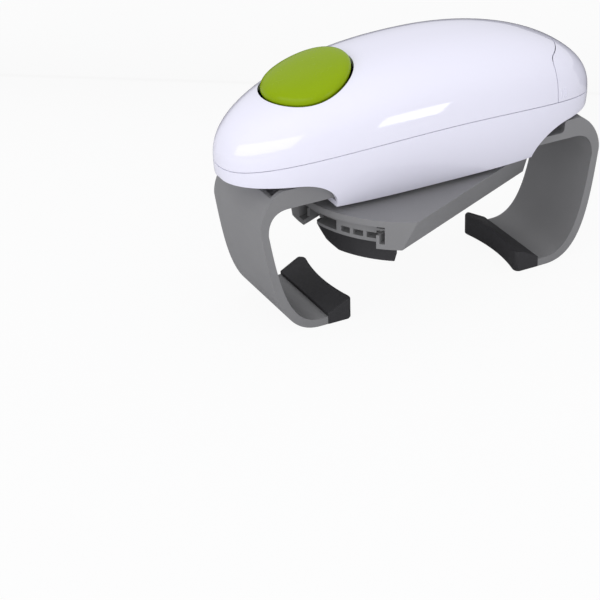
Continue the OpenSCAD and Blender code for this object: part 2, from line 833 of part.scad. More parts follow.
module arm_pinion() {
    bore_r = tube_r + run_gap;
    sleeve_z = rack_z + rack_height + slide_gap;
    color(gear_white)
    difference() {
        union() {
            translate([0, 0, rack_z])
                rotate(90)
                    spur_gear(arm_pinion_teeth, gear_module, sleeve_z - rack_z + eps);
            translate([0, 0, sleeve_z])
                cylinder(r = arm_sleeve_r, h = clutch_flange_z - sleeve_z + eps, $fn = 64);
            translate([0, 0, clutch_flange_z])
                cylinder(r = arm_sleeve_r + 5, h = clutch_flange, $fn = 64);
        }
        translate([0, 0, rack_z - 1])
            cylinder(r = bore_r, h = clutch_washer_z - rack_z + 2, $fn = 64);
    }
}

module clutch_washer() {
    color("tan")
    difference() {
        translate([0, 0, clutch_washer_z])
            cylinder(r = arm_sleeve_r + 4.4, h = clutch_washer_height, $fn = 64);
        translate([0, 0, clutch_washer_z - 1])
            cylinder(r = tube_r + run_gap, h = clutch_washer_height + 2, $fn = 64);
    }
}

module jaw_pinion() {
    color(gear_white) {
        translate([0, 0, jaw_pinion_z])
            rotate(gripper_angle + 90)
                spur_gear(jaw_pinion_teeth, gear_module, jaw_rack_height + 0.8);
        translate([0, 0, jaw_pinion_z + jaw_rack_height + 0.8 - eps])
            cylinder(r = jaw_shaft_r, h = bridge_top_z - jaw_pinion_z - jaw_rack_height - 1.2, $fn = 48);
    }
}

module brake_disc() {
    color(rack_black)
    difference() {
        translate([0, 0, brake_z])
            cylinder(r = 7.5, h = brake_height, $fn = 48);
        translate([0, 0, brake_z - 1])
            cylinder(r = jaw_shaft_r, h = brake_height + 2, $fn = 48);
    }
}

module brake_spring() {
    spring_z = brake_z + brake_height + 0.1;
    color(steel)
    translate([0, 0, spring_z])
        coil_spring(5, spring_wire / 2, bridge_z - spring_z, 2);
}

// ---------------------------------------------------------------- electrics

module circuit_board() {
    color(board_green)
    difference() {
        translate([-button_x, 0, board_z])
            linear_extrude(board_thickness)
                polygon([for (s = [-1, 1], k = [0:board_steps])
                    let(x = s * board_half_length * (1 - 2 * k / board_steps))
                    [x, s * min(board_half_width, crown_y(x - button_x, board_top_z) - shell_wall - 1)]]);
        for (s = [-1, 1])
            translate([-button_x, s * board_screw_y, board_z - 1])
                cylinder(r = small_screw_r + 0.2, h = board_thickness + 2, $fn = 24);
    }
}

module board_screws() {
    color(steel)
    for (s = [-1, 1])
        translate([-button_x, s * board_screw_y, board_z])
            screw(small_screw_r, board_thickness + 3.5, small_head_r, 1.2);
}

module board_parts() {
    color(rack_black) {
        translate([-button_x - 12, -15, board_z - 1.5])
            cube([5, 4, 1.5]);
        translate([-button_x + 4, -16, board_z - 1])
            cube([6, 2.5, 1]);
        translate([-button_x - 8, 12, board_z - 5])
            cylinder(r = 2.5, h = 5, $fn = 32);
    }
}

module switch_body() {
    color(rack_black)
    difference() {
        translate([-button_x - switch_half, -switch_half, board_top_z])
            cube([2 * switch_half, 2 * switch_half, switch_height]);
        translate([-button_x, 0, board_top_z + 0.8])
            cylinder(r = plunger_r + run_gap, h = switch_height, $fn = 32);
    }
}

module switch_plunger() {
    base_z = board_top_z + 0.8 + button_travel + 0.2;
    color(shell_white)
    translate([-button_x, 0, base_z])
        cylinder(r = plunger_r, h = plunger_top_z - base_z, $fn = 32);
}

module battery_tray() {
    floor_z = cell_z - cell_d / 2 - 1.7;
    length = cell_length + 3.6;
    width = 2 * cell_d + 3.6;
    start_x = cell_start_x - 3.8;
    color(shell_white)
    difference() {
        translate([start_x, -width / 2, floor_z])
            cube([length, width, cell_d / 2 + 3.4]);
        for (s = [-1, 1])
            translate([start_x + 1.6, s * (cell_d / 2 + 0.15), cell_z])
                rotate([0, 90, 0])
                    cylinder(r = cell_d / 2 + 0.1, h = length, $fn = 48);
        translate([start_x + 1.6, -width / 2 + 1.4, cell_z])
            cube([length, width - 2.8, cell_d]);
        // slot that lets the tray's end plate hold the contacts
        translate([start_x + 1, -width / 2 + 3, floor_z + 3])
            cube([0.61, width - 6, cell_d]);
    }
}

module cell() {
    rotate([0, 90, 0]) {
        cylinder(r = cell_d / 2, h = cell_length, $fn = 48);
        translate([0, 0, cell_length - eps])
            cylinder(r = 2.7, h = 1.2, $fn = 32);
    }
}

module batteries() {
    color("darkorange") {
        translate([cell_start_x, -cell_d / 2 - 0.15, cell_z])
            cell();
        translate([cell_start_x + cell_length, cell_d / 2 + 0.15, cell_z])
            rotate([0, 0, 180])
                cell();
    }
}

// coil for the near cell's flat end and the leaf for the far cell's tip
module battery_springs() {
    start_x = cell_start_x - 2.1;
    color(nickel)
    translate([start_x, -cell_d / 2 - 0.15, cell_z])
        rotate([0, 90, 0])
            coil_spring(3.6, 0.35, 2, 2);
}

module battery_contacts() {
    color(nickel) {
        translate([cell_start_x - 2.6, -cell_d + 1.4, cell_z - 5])
            cube([0.4, cell_d - 2.4, 9]);
        translate([cell_start_x - 2.6, 0.8, cell_z - 5])
            cube([0.4, cell_d - 2.4, 9]);
        translate([cell_start_x - 2.2 - eps, cell_d / 2 + 0.15 - 2, cell_z - 2])
            cube([0.8, 4, 4]);
    }
}

// two wires from the board to the motor's terminals
module motor_leads() {
    top_z = bridge_top_z + gearhead_height + motor_height + end_cap_height;
    board_x = -button_x + board_half_length;
    for (s = [-1, 1])
        color(s < 0 ? "firebrick" : "black")
        lead([motor_x, s * 6, top_z + 0.3], [motor_x - 2, s * 14, top_z + 5],
             [board_x + 14, s * 18, board_top_z + 3], [board_x - 3, s * 13, board_top_z + 0.7], 0.6);
}

// two wires from the tray's contacts along the sides of the motor to the board
module battery_leads() {
    board_x = -button_x + board_half_length;
    for (s = [-1, 1])
        color(s < 0 ? "firebrick" : "black")
        lead([cell_start_x - 2.9, s * 9, cell_z + 2.7], [cell_start_x - 14, s * 9, cell_z + 3],
             [motor_x + 12, s * 31, board_top_z + 0.7], [board_x - 3, s * 20, board_top_z + 0.7], 0.6);
}

// ---------------------------------------------------------------- battery door

module battery_door() {
    rib_x = [door_x + 2, door_x + 3.9, door_x + 5.5];
    color(shell_white)
    union() {
        difference() {
            intersection() {
                crown_solid(0, -seam_gap / 2);
                door_region(-seam_gap / 2);
            }
            crown_solid(shell_wall, 3);
        }
        // finger ribs on both sides
        for (s = [-1, 1], x = rib_x)
            hull() {
                for (z = [1.9, 6.3])
                    translate([x, s * (crown_y(x, seam_z(x) + z) - 0.25), seam_z(x) + z])
                        sphere(r = 0.7, $fn = 10);
            }
        // tongues that run under the cover's edge
        for (s = [-1, 1])
            hull() {
                translate([door_x - 6, s * (crown_y(door_x, seam_z(door_x) + 9) - shell_wall - 1.2),
                           seam_z(door_x) + 3])
                    cylinder(r = 0.7, h = 5, $fn = 12);
                translate([door_x + 5, s * (crown_y(door_x + 5, seam_z(door_x) + 9) - shell_wall - 0.2),
                           seam_z(door_x) + 3])
                    cylinder(r = 0.7, h = 5, $fn = 12);
            }
    }
}
// half width of the skin at the height z over x
function crown_y(x, z) =
    let(rho = pow(1 - pow((z - seam_z(x)) / crown_height, crown_power), 1 / crown_power))
    body_half_width * pow(max(pow(rho, plan_power) - pow(along(x), plan_power), 0), 1 / plan_power);

module door_contact() {
    plate_x = cell_start_x + cell_length + 1.6;
    color(nickel)
    translate([plate_x, -cell_d + 1, cell_z - 4])
        cube([0.5, 2 * cell_d - 2, 8]);
}

// ---------------------------------------------------------------- power button

button_rings = 7;
button_sides = 48;
function pillow(q) = button_proud * pow(1 - pow(q, 8), 1 / 2.5);
function button_point(q, a, drop) =
    let(x = -button_x + button_r * q * cos(a), y = button_r * q * sin(a))
    [x, y, crown_z(x, y, 0) + pillow(min(q, 1)) - drop];
function button_ring(q, drop) = [for (k = [0:button_sides - 1]) button_point(q, 360 * k / button_sides, drop)];
module power_button() {
    base_drop = 4.5;
    hook_height = 1.4;
    levels = [for (k = [1:button_rings]) sin(90 * k / button_rings)];
    color(button_green)
    difference() {
        union() {
            difference() {
                loft(concat(
                    [button_ring(0.15, base_drop + 5)],
                    [for (q = [0.4, 0.75, 1]) button_ring(q, base_drop + pillow(q))],
                    [for (k = [button_rings - 1:-1:0]) button_ring(levels[k], 0)],
                    [button_ring(0.15, 0)]));
                button_hollow();
            }
            // ribs under the cap and the stem that meets the switch
            intersection() {
                button_core();
                union() {
                    translate([-button_x, 0, button_seat_z])
                        cylinder(r = button_seat_r, h = 20, $fn = 32);
                    for (a = [0:45:315])
                        hull() {
                            for (q = [0.36, 0.9])
                                translate([-button_x + button_r * q * cos(a), button_r * q * sin(a),
                                           plunger_top_z + 5])
                                    cylinder(r = 0.6, h = 20, $fn = 12);
                        }
                    translate([-button_x, 0, plunger_top_z])
                        cylinder(r = stem_r, h = 20, $fn = 32);
                }
            }
            // snap hooks that stop the button from lifting out
            for (a = [60, 180, 300]) {
                out = [-button_x + (button_r + 2) * cos(a), (button_r + 2) * sin(a)];
                translate([-button_x, 0, crown_z(out[0], out[1], shell_wall) - slide_gap - 0.9 - hook_height])
                    rotate(a)
                        translate([button_r - 1.2, -2, 0])
                            cube([button_gap + 2, 4, hook_height]);
            }
        }
    }
}
// the space under the cap
module button_hollow() {
    inner = (button_r - button_wall) / button_r;
    loft(concat(
        [button_ring(0.15, 30)],
        [for (q = [0.5, 1]) button_ring(q * inner, 30)],
        [for (q = [1, 0.7, 0.4]) button_ring(q * inner, button_wall)],
        [button_ring(0.15, button_wall)]));
}
// a solid that ends inside the cap's wall
module button_core() {
    inner = (button_r - button_wall / 2) / button_r;
    loft(concat(
        [button_ring(0.15, 30)],
        [for (q = [0.5, 1]) button_ring(q * inner, 30)],
        [for (q = [1, 0.7, 0.4]) button_ring(q * inner, button_wall / 2)],
        [button_ring(0.15, button_wall / 2)]));
}

button_seat_r = 7;
button_seat_z = crown_z(-button_x - button_seat_r, 0, 0) + button_proud - button_wall - 1;
module button_spring() {
    color(steel)
    translate([-button_x, 0, board_top_z])
        coil_spring(5.4, spring_wire / 2, button_seat_z - board_top_z, 5);
}

// ---------------------------------------------------------------- lid gripper

// everything between the two rounded ends of the carrier
module between_ends(r, z, h) {
    translate([0, 0, z])
        cylinder(r = r, h = h, $fn = 128);
}

// round ends, sides that bow outward at the top and draw in towards the straight bottom edges
module carrier_block() {
    top_half_width = carrier_base_half_width + carrier_height / carrier_draft;
    intersection() {
        between_ends(carrier_end_r, carrier_bottom_z, carrier_height);
        for (s = [-1, 1])
            translate([0, s * (carrier_side_r - carrier_half_width), carrier_bottom_z])
                cylinder(r = carrier_side_r, h = carrier_height, $fn = 720);
        rotate([90, 0, 90])
            translate([0, 0, -70])
                linear_extrude(140)
                    polygon([[-carrier_base_half_width, carrier_bottom_z], [carrier_base_half_width, carrier_bottom_z],
                             [top_half_width, carrier_top_z], [-top_half_width, carrier_top_z]]);
    }
}
module lid_carrier() {
    color(arm_gray)
    rotate(gripper_angle)
    difference() {
        union() {
            difference() {
                carrier_block();
                // inside of the channel
                translate([-75, -channel_half_width, carrier_bottom_z + flange_thickness])
                    cube([150, 2 * channel_half_width, channel_top_z - carrier_bottom_z - flange_thickness]);
                // slot between the flanges
                translate([-75, -flange_inner - lip_thickness, carrier_bottom_z - 1])
                    cube([150, 2 * (flange_inner + lip_thickness), flange_thickness + 2]);
            }
            intersection() {
                between_ends(carrier_end_r, carrier_bottom_z, carrier_height);
                for (turn = [0, 180])
                    rotate(turn)
                        difference() {
                            translate([-75, flange_inner, carrier_bottom_z])
                                cube([150, lip_thickness, lip_height]);
                            // this lip starts behind the near end
                            translate([-75, flange_inner - 1, carrier_bottom_z + flange_thickness])
                                cube([75 - lip_from, lip_thickness + 2, lip_height]);
                        }
            }
        }
        translate([0, 0, channel_top_z - 1])
            cylinder(r = tube_r + run_gap, h = carrier_top + 2, $fn = 64);
        for (a = [45:90:315])
            rotate(a)
                translate([hub_screw_circle, 0, channel_top_z - 1])
                    cylinder(r = small_screw_r + 0.2, h = carrier_top + 2, $fn = 24);
    }
}

// hub and tube that carry the gripper and take the drive gear
module output_hub() {
    color(gear_white)
    difference() {
        union() {
            translate([0, 0, carrier_top_z])
                cylinder(r = hub_r, h = floor_top_z - carrier_top_z + 0.4, $fn = 96);
            translate([0, 0, channel_top_z])
                cylinder(r = tube_r, h = tube_top_z - channel_top_z, $fn = 64);
        }
        translate([0, 0, channel_top_z - 1])
            cylinder(r = jaw_shaft_r + run_gap, h = tube_top_z - channel_top_z + 2, $fn = 48);
        for (a = [45:90:315])
            rotate(gripper_angle + a)
                translate([hub_screw_circle, 0, carrier_top_z - 1])
                    cylinder(r = small_screw_r + screw_fit, h = 4, $fn = 24);
    }
}

module hub_screws() {
    color(steel)
    for (a = [45:90:315])
        rotate(gripper_angle + a)
            translate([hub_screw_circle, 0, channel_top_z])
                screw(small_screw_r, carrier_top + 2.8, small_head_r, 0.25);
}

// one jaw slider, pointing to -X, with its rack on the -Y side and its open end on the +Y side
module jaw_slider() {
    inner_x = lid_r + 1.5;
    recess_from = jaw_pinion_r - tooth_tip * gear_module - 4.2;
    recess_width = jaw_rack_back + tooth_tip * gear_module + 4.7;
    module end_block(from_y, to_y, z, h, end_r = jaw_end_r) {
        intersection() {
            between_ends(end_r, z, h);
            translate([-70, from_y, z - 1])
                cube([70 - inner_x + 9, to_y - from_y, h + 2]);
        }
    }
    color(arm_gray)
    difference() {
        union() {
            end_block(-jaw_block_half_width, jaw_open_end, slider_bottom_z, slider_top_z - slider_bottom_z);
            end_block(0, jaw_block_half_width, slider_bottom_z, slider_top_z - slider_bottom_z,
                      jaw_end_r - lip_cut_back - 0.5);
            end_block(0, jaw_block_half_width, rail_z, slider_top_z - rail_z);
            // rails that ride on the lips
            end_block(slide_gap - channel_half_width, channel_half_width - slide_gap, rail_z, jaw_rail_thickness);
            // rack bar on its own side of the pinion
            translate([0, -jaw_pinion_r, jaw_rack_z])
                mirror([0, 1, 0])
                    linear_extrude(jaw_rack_height)
                        polygon(rack_points(-inner_x, 9, gear_module, jaw_rack_back));
            rubber_tongue();
        }
        // passage for the rack of the other jaw, open to the side
        translate([-70, recess_from, jaw_rack_z - slide_gap])
            cube([70, recess_width, jaw_rack_height + 2 * slide_gap]);
        translate([-70, recess_from + recess_width - 1, jaw_rack_z - slide_gap])
            cube([70, jaw_block_half_width - 1.5 - recess_from - recess_width, rail_z - jaw_rack_z + slide_gap]);
        // pockets in the end face, the outer one open to its side
        for (k = [0:2])
            intersection() {
                translate([-70, -0.5 - jaw_window_width - k * jaw_window_pitch - (k == 2 ? 3 : 0), jaw_rack_z])
                    cube([70, jaw_window_width + (k == 2 ? 3 : 0), jaw_window_height]);
                difference() {
                    between_ends(jaw_end_r + 1, jaw_rack_z - 1, jaw_window_height + 2);
                    between_ends(jaw_end_r - 5, jaw_rack_z - 2, jaw_window_height + 4);
                }
            }
    }
}

// tongue under the slider that holds the rubber
module rubber_tongue() {
    tongue_h = slider_bottom_z - rubber_bottom_z - 2;
    intersection() {
        difference() {
            between_ends(lid_r + jaw_rubber_thickness - 2, rubber_bottom_z + 2, tongue_h + eps);
            between_ends(lid_r + jaw_rubber_thickness - 4, rubber_bottom_z, tongue_h + 3);
        }
        translate([-70, 1 - jaw_block_half_width, rubber_bottom_z])
            cube([70, jaw_block_half_width + 7, 30]);
    }
}

module jaw_rubber() {
    color(rubber_black)
    difference() {
        intersection() {
            difference() {
                between_ends(lid_r + jaw_rubber_thickness, rubber_bottom_z, jaw_rubber_height);
                between_ends(lid_r, rubber_bottom_z - 1, jaw_rubber_height + 2);
            }
            linear_extrude(100)
                polygon([[0, 0], [-80, -80 * tan(jaw_half_angle)], [-80, 80 * tan(jaw_half_angle - 3)]]);
        }
        rubber_tongue();
        // long chamfer under the open end
        rotate([90, 0, -90])
            translate([0, 0, lid_r - 12])
                linear_extrude(40)
                    polygon([[-0.9, rubber_bottom_z - 1], [-12, rubber_bottom_z + 2.6], [-18.7, rubber_top_z - 2.2],
                             [-19.6, rubber_top_z + 1], [-30, rubber_top_z + 1], [-30, rubber_bottom_z - 1]]);
    }
}

module near_jaw() { rotate(gripper_angle) jaw_slider(); }
module far_jaw() { rotate(gripper_angle + 180) jaw_slider(); }
module near_jaw_rubber() { rotate(gripper_angle) jaw_rubber(); }
module far_jaw_rubber() { rotate(gripper_angle + 180) jaw_rubber(); }

// ---------------------------------------------------------------- arms

// side view of the right arm in X and Z: foot, band, shoulder, leg and back
function arm_outline() =
    let(t = arm_thickness, r = arm_reach, z = arm_widest_z, top = leg_bottom_z + leg_thickness)
    concat(
        [[pad_outer_x - tongue_length, 0.8], [pad_outer_x, 0.8], [pad_outer_x, 0]],
        bezier([arm_foot_x, 0], [r - 8.8, 0], [r - 4.6, z - 30.7], [r, z], 14),
        [for (k = [1:8]) bezier([r, z], [r + 0.6, z + 8], [r - 6.2, shoulder_z], [r - 12.6, shoulder_z], 8)[k]],
        [[shoulder_x + 1, shoulder_z], [shoulder_x, shoulder_z - 1.2], [shoulder_x - 0.3, top + 1.4],
         [shoulder_x - 2, top], [leg_end_x, top], [leg_end_x, leg_bottom_z]],
        bezier([r - 14, leg_bottom_z], [r - 7, leg_bottom_z], [r - t, z + 5], [r - t, z - 2], 8),
        [for (k = [1:12]) bezier([r - t, z - 2], [r - 4.6 - t, z - 29.5], [r - 9.4 - t, t], [arm_foot_x, t], 12)[k]],
        [[pad_outer_x, t], [pad_outer_x, 0.8 + tongue_height], [pad_outer_x - tongue_length, 0.8 + tongue_height]]);

module arm() {
    rack_y = arm_pinion_r + 3.6;
    leg_top_z = leg_bottom_z + leg_thickness;
    pocket_half = arm_width / 2 - cheek_thickness;
    color(arm_gray)
    difference() {
        translate([0, arm_width / 2, 0])
            rotate([90, 0, 0]) {
                linear_extrude(arm_width)
                    polygon(arm_outline());
                // cheek that closes the step beside the leg
                linear_extrude(cheek_thickness)
                    polygon([[shoulder_x + 1, shoulder_z], [shoulder_x - 3.3, shoulder_z], [leg_end_x + 16, shoulder_z - 3.8],
                             [leg_end_x + 12, leg_top_z - 0.2], [shoulder_x + 1, leg_top_z - 0.2]]);
            }
        // shelf and well in the shoulder's top
        translate([shoulder_x + 2.7, -pocket_half, shoulder_z - 3.2])
            cube([30, 2 * pocket_half, 10]);
        translate([shoulder_x + 3.2, -pocket_half, leg_top_z - 0.4])
            cube([8, 2 * pocket_half, 10]);
        // screw holes of the rack
        for (x = rack_screw_x)
            translate([x, rack_y, leg_bottom_z - 1])
                cylinder(r = small_screw_r + 0.2, h = leg_thickness + 2, $fn = 24);
    }
}
rack_screw_x = [leg_end_x + 4, leg_end_x + 12];

module arm_rack() {
    rack_end_x = leg_end_x + 16;
    back = 5.6;
    color(rack_black)
    difference() {
        translate([0, arm_pinion_r, rack_z])
            linear_extrude(rack_height)
                polygon(rack_points(-12, rack_end_x, gear_module, back));
        for (x = rack_screw_x)
            translate([x, arm_pinion_r + 3.6, rack_z - 1])
                cylinder(r = small_screw_r + screw_fit, h = 4.2, $fn = 24);
    }
    // seat that fills the clearance under the rack
    color(rack_black)
    difference() {
        translate([leg_end_x + 0.5, arm_pinion_r + 1.4, leg_bottom_z + leg_thickness])
            cube([15, back - 1.4, rack_z - leg_bottom_z - leg_thickness + eps]);
        for (x = rack_screw_x)
            translate([x, arm_pinion_r + 3.6, leg_bottom_z])
                cylinder(r = small_screw_r + screw_fit, h = 9, $fn = 24);
    }
}

module arm_rack_screws() {
    color(steel)
    for (x = rack_screw_x)
        translate([x, arm_pinion_r + 3.6, leg_bottom_z])
            screw(small_screw_r, leg_thickness + 3, small_head_r, 0.25);
}

// rubber block at the foot of the arm, hollowed to the jar
module arm_pad() {
    color(rubber_black)
    difference() {
        translate([0, pad_half_width, 0])
            rotate([90, 0, 0])
                linear_extrude(2 * pad_half_width)
                    polygon([[pad_outer_x, 0], [pad_outer_x, pad_outer_height],
                             [jar_r - 1, pad_inner_height], [jar_r - 9, pad_inner_height], [jar_r - 9, 0]]);
        translate([pad_face_x, 0, -1])
            cylinder(r = pad_face_r, h = pad_inner_height + 2, $fn = 128);
        // slot for the arm's tongue
        translate([pad_outer_x - tongue_length, -arm_width / 2, 0.8])
            cube([tongue_length + 1, arm_width, tongue_height]);
    }
}

module right_arm() { arm(); }
module right_rack() { arm_rack(); }
module right_pad() { arm_pad(); }
module right_rack_screws() { arm_rack_screws(); }
module left_arm() { rotate(180) arm(); }
module left_rack() { rotate(180) arm_rack(); }
module left_pad() { rotate(180) arm_pad(); }
module left_rack_screws() { rotate(180) arm_rack_screws(); }

// ---------------------------------------------------------------- nodes

upper_cover();
lower_shell();
cover_screws();
hub_bush();
chassis_plate();
chassis_screws();
bridge_plate();
bridge_screws();
gear_axle();
motor_case();
motor_end_cap();
motor_gearhead();
circuit_board();
board_screws();
board_parts();
switch_body();
battery_tray();
batteries();
battery_springs();
battery_contacts();
motor_leads();
battery_leads();
battery_door();
door_contact();
power_button();
button_spring();
switch_plunger();
lid_carrier();
output_hub();
hub_screws();
drive_gear();
hub_clip();
near_jaw();
near_jaw_rubber();
far_jaw();
far_jaw_rubber();
jaw_pinion();
brake_disc();
brake_spring();
left_arm();
left_rack();
left_pad();
left_rack_screws();
right_arm();
right_rack();
right_pad();
right_rack_screws();
arm_pinion();
clutch_washer();
reduction_gear();
output_pinion();
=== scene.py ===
import bmesh
import bpy
import math
from mathutils import Matrix, Quaternion, Vector


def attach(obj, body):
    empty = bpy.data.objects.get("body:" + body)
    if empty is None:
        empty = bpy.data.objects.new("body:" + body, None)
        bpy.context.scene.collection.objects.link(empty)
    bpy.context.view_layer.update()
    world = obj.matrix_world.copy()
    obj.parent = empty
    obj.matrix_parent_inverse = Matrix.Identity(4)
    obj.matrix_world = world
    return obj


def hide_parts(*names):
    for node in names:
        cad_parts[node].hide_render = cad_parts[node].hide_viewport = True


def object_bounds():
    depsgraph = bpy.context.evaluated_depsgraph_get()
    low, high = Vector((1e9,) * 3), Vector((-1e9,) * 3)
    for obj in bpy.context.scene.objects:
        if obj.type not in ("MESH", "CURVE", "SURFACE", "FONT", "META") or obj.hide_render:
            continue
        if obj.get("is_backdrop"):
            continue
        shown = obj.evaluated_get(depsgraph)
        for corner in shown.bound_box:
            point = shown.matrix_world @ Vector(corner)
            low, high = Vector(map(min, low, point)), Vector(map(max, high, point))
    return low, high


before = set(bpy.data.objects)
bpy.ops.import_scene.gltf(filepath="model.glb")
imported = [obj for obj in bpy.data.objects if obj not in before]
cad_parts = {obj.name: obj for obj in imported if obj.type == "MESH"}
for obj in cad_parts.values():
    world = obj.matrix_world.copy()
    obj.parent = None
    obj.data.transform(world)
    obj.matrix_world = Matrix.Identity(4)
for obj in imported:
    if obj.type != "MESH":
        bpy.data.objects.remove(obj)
cad_low, cad_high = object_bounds()


# ---- Lower shell ---------------------------------------------------------------------
# The white tub of the body, injection moulded in glossy ABS. Its sides draw in towards
# a deep skirt, and hollow arches lead from the skirt to the flat undersides of both ends.
mm = 0.001
widest_x = 2.7                  # the body is widest here, and both ends run out from it
left_length, right_length = 99.6, 89.1
half_width = 36.0
plan_power, dome_power = 2.33, 2.57
seam_end_z, seam_rise, crown_rise = 79.8, 10.0, 30.5
seam_gap = 0.35
wall = 2.2
draw_in = 0.00991               # how far the sides draw in, per millimetre of depth squared
skirt_x, skirt_z = 51.0, 58.5
arch_x, deck_z = 70.0, 73.7
floor_z = skirt_z + wall
tunnel_half_width, tunnel_floor_z = 24.35, 61.3
hub_hole_r = 19.05
screw_x, screw_y, screw_head_r = -80, 11, 2.9


class Signal:
    """A shader socket that can be used in a sum, a product and the like."""

    def __init__(self, finish, socket):
        self.finish, self.socket = finish, socket

    def joined(self, operation, first, second):
        return self.finish.node("ShaderNodeMath", {"operation": operation}, {0: first, 1: second})

    def __add__(self, other): return self.joined("ADD", self, other)
    def __radd__(self, other): return self.joined("ADD", other, self)
    def __sub__(self, other): return self.joined("SUBTRACT", self, other)
    def __rsub__(self, other): return self.joined("SUBTRACT", other, self)
    def __mul__(self, other): return self.joined("MULTIPLY", self, other)
    def __rmul__(self, other): return self.joined("MULTIPLY", other, self)
    def __gt__(self, other): return self.joined("GREATER_THAN", self, other)
    def __lt__(self, other): return self.joined("LESS_THAN", self, other)


class Finish:
    """A material whose nodes are made by one method."""

    def __init__(self, name, kind=bpy.data.materials):
        self.material = kind.new(name)
        self.material.use_nodes = True
        self.tree = self.material.node_tree
        self.tree.nodes.clear()

    def node(self, kind, settings=None, values=None, out=0):
        made = self.tree.nodes.new(kind)
        for key, value in (settings or {}).items():
            setattr(made, key, value)
        for key, value in (values or {}).items():
            if isinstance(value, Signal):
                self.tree.links.new(value.socket, made.inputs[key])
            else:
                made.inputs[key].default_value = value
        return Signal(self, made.outputs[out] if made.outputs else None)

    def place(self, scale=(1, 1, 1)):
        where = self.node("ShaderNodeTexCoord", out="Object")
        return self.node("ShaderNodeMapping", None, {"Vector": where, "Scale": scale})

    def cloud(self, size, detail, scale=(1, 1, 1)):
        """Noise between 0 and 1 whose blotches are about size metres across."""
        return self.node("ShaderNodeTexNoise", None,
                         {"Vector": self.place(scale), "Scale": 1 / size, "Detail": detail})

    def tint(self, factor, first, second):
        return self.node("ShaderNodeMix", {"data_type": "RGBA"},
                         {0: factor, 6: (*first, 1), 7: (*second, 1)}, out=2)

    def relief(self, height, strength, depth):
        return self.node("ShaderNodeBump", None,
                         {"Height": height, "Strength": strength, "Distance": depth})

    def surface(self, **values):
        names = {key.replace("_", " "): value for key, value in values.items()}
        shader = self.node("ShaderNodeBsdfPrincipled", None, names)
        self.node("ShaderNodeOutputMaterial", None, {"Surface": shader})
        return self.material


gloss = Finish("glossy white ABS")
flow = gloss.cloud(0.05, 3)
peel = gloss.cloud(0.004, 1)
white_abs = gloss.surface(
    Base_Color=gloss.tint(flow, (0.775, 0.770, 0.880), (0.795, 0.790, 0.895)),
    Roughness=0.03 + 0.03 * gloss.cloud(0.012, 4),
    Normal=gloss.relief(peel, 0.012, 0.0004),
    IOR=1.5,
)


def half_length(x):
    return left_length if x < widest_x else right_length


def seam_height(x):
    return seam_end_z + seam_rise * (1 - min(abs(x - widest_x) / half_length(x), 1) ** 2)


def outline(x, inset):
    """Half the body's width at x, as far inside its skin as inset says."""
    u = abs(x - widest_x) / (half_length(x) - inset)
    return 0.0 if u >= 1 else (half_width - inset) * (1 - u ** plan_power) ** (1 / plan_power)


def crown(x, y, inset=0.0):
    """The height of the dome over a spot."""
    u = abs(x - widest_x) / (half_length(x) - inset)
    v = abs(y) / (half_width - inset)
    rho = min((u ** plan_power + v ** plan_power) ** (1 / plan_power), 1)
    return seam_height(x) + (crown_rise - inset) * (1 - rho ** dome_power) ** (1 / dome_power)


def underside(x):
    """The height of the body's bottom: the skirt, the arch beside it, or the raised end."""
    t = (arch_x - abs(x)) / (arch_x - skirt_x)
    if t <= 0:
        return deck_z
    return skirt_z if t >= 1 else skirt_z + (deck_z - skirt_z) * math.sqrt(1 - t * t)


def sheet(columns, rows, place):
    """A bmesh grid whose points are laid where place(column, row) says, in millimetres."""
    bm = bmesh.new()
    bmesh.ops.create_grid(bm, x_segments=columns, y_segments=rows, size=1)
    for v in bm.verts:
        v.co = place(round((v.co.x + 1) / 2 * columns), round((v.co.y + 1) / 2 * rows))
    bmesh.ops.remove_doubles(bm, verts=bm.verts, dist=0.002)
    bmesh.ops.recalc_face_normals(bm, faces=bm.faces)
    return bm


def rod(bm, x, y, low, high, radius, segments=32):
    """Adds an upright round post to a bmesh in millimetres."""
    bmesh.ops.create_cone(bm, cap_ends=True, segments=segments, radius1=radius, radius2=radius,
                          depth=high - low, matrix=Matrix.Translation((x, y, (low + high) / 2)))


def block(bm, low, high):
    """Adds a box to a bmesh in millimetres."""
    size = [b - a for a, b in zip(low, high)]
    middle = [(a + b) / 2 for a, b in zip(low, high)]
    bmesh.ops.create_cube(bm, size=1, matrix=Matrix.Translation(middle) @ Matrix.Diagonal((*size, 1)))


def mesh_object(name, bm):
    """An object made from a bmesh in millimetres."""
    bmesh.ops.scale(bm, vec=(mm, mm, mm), verts=bm.verts)
    mesh = bpy.data.meshes.new(name)
    bm.to_mesh(mesh)
    bm.free()
    made = bpy.data.objects.new(name.replace(" ", "_"), mesh)
    bpy.context.scene.collection.objects.link(made)
    return made


def carve(obj, bm, operation="DIFFERENCE", folded=False):
    """Cuts obj with the closed shape in bm, or joins or crosses them, and keeps the result."""
    tool = mesh_object("carving tool", bm)
    change = obj.modifiers.new("carve", "BOOLEAN")
    change.object, change.operation, change.solver = tool, operation, "EXACT"
    change.use_self = folded
    view = bpy.context.evaluated_depsgraph_get()
    result = bpy.data.meshes.new_from_object(obj.evaluated_get(view))
    obj.modifiers.clear()
    obj.data = result
    bpy.data.objects.remove(tool)


def drop_crumbs(obj, fewest):
    """Deletes the loose crumbs that cutting a curled wall leaves inside it."""
    bm = bmesh.new()
    bm.from_mesh(obj.data)
    unseen, crumbs = dict.fromkeys(bm.verts), []
    while unseen:
        island, front = [], [unseen.popitem()[0]]
        while front:
            vert = front.pop()
            island.append(vert)
            for edge in vert.link_edges:
                other = edge.other_vert(vert)
                if other in unseen:
                    del unseen[other]
                    front.append(other)
        if len(island) < fewest:
            crumbs += island
    bmesh.ops.delete(bm, geom=crumbs, context="VERTS")
    bm.to_mesh(obj.data)
    bm.free()


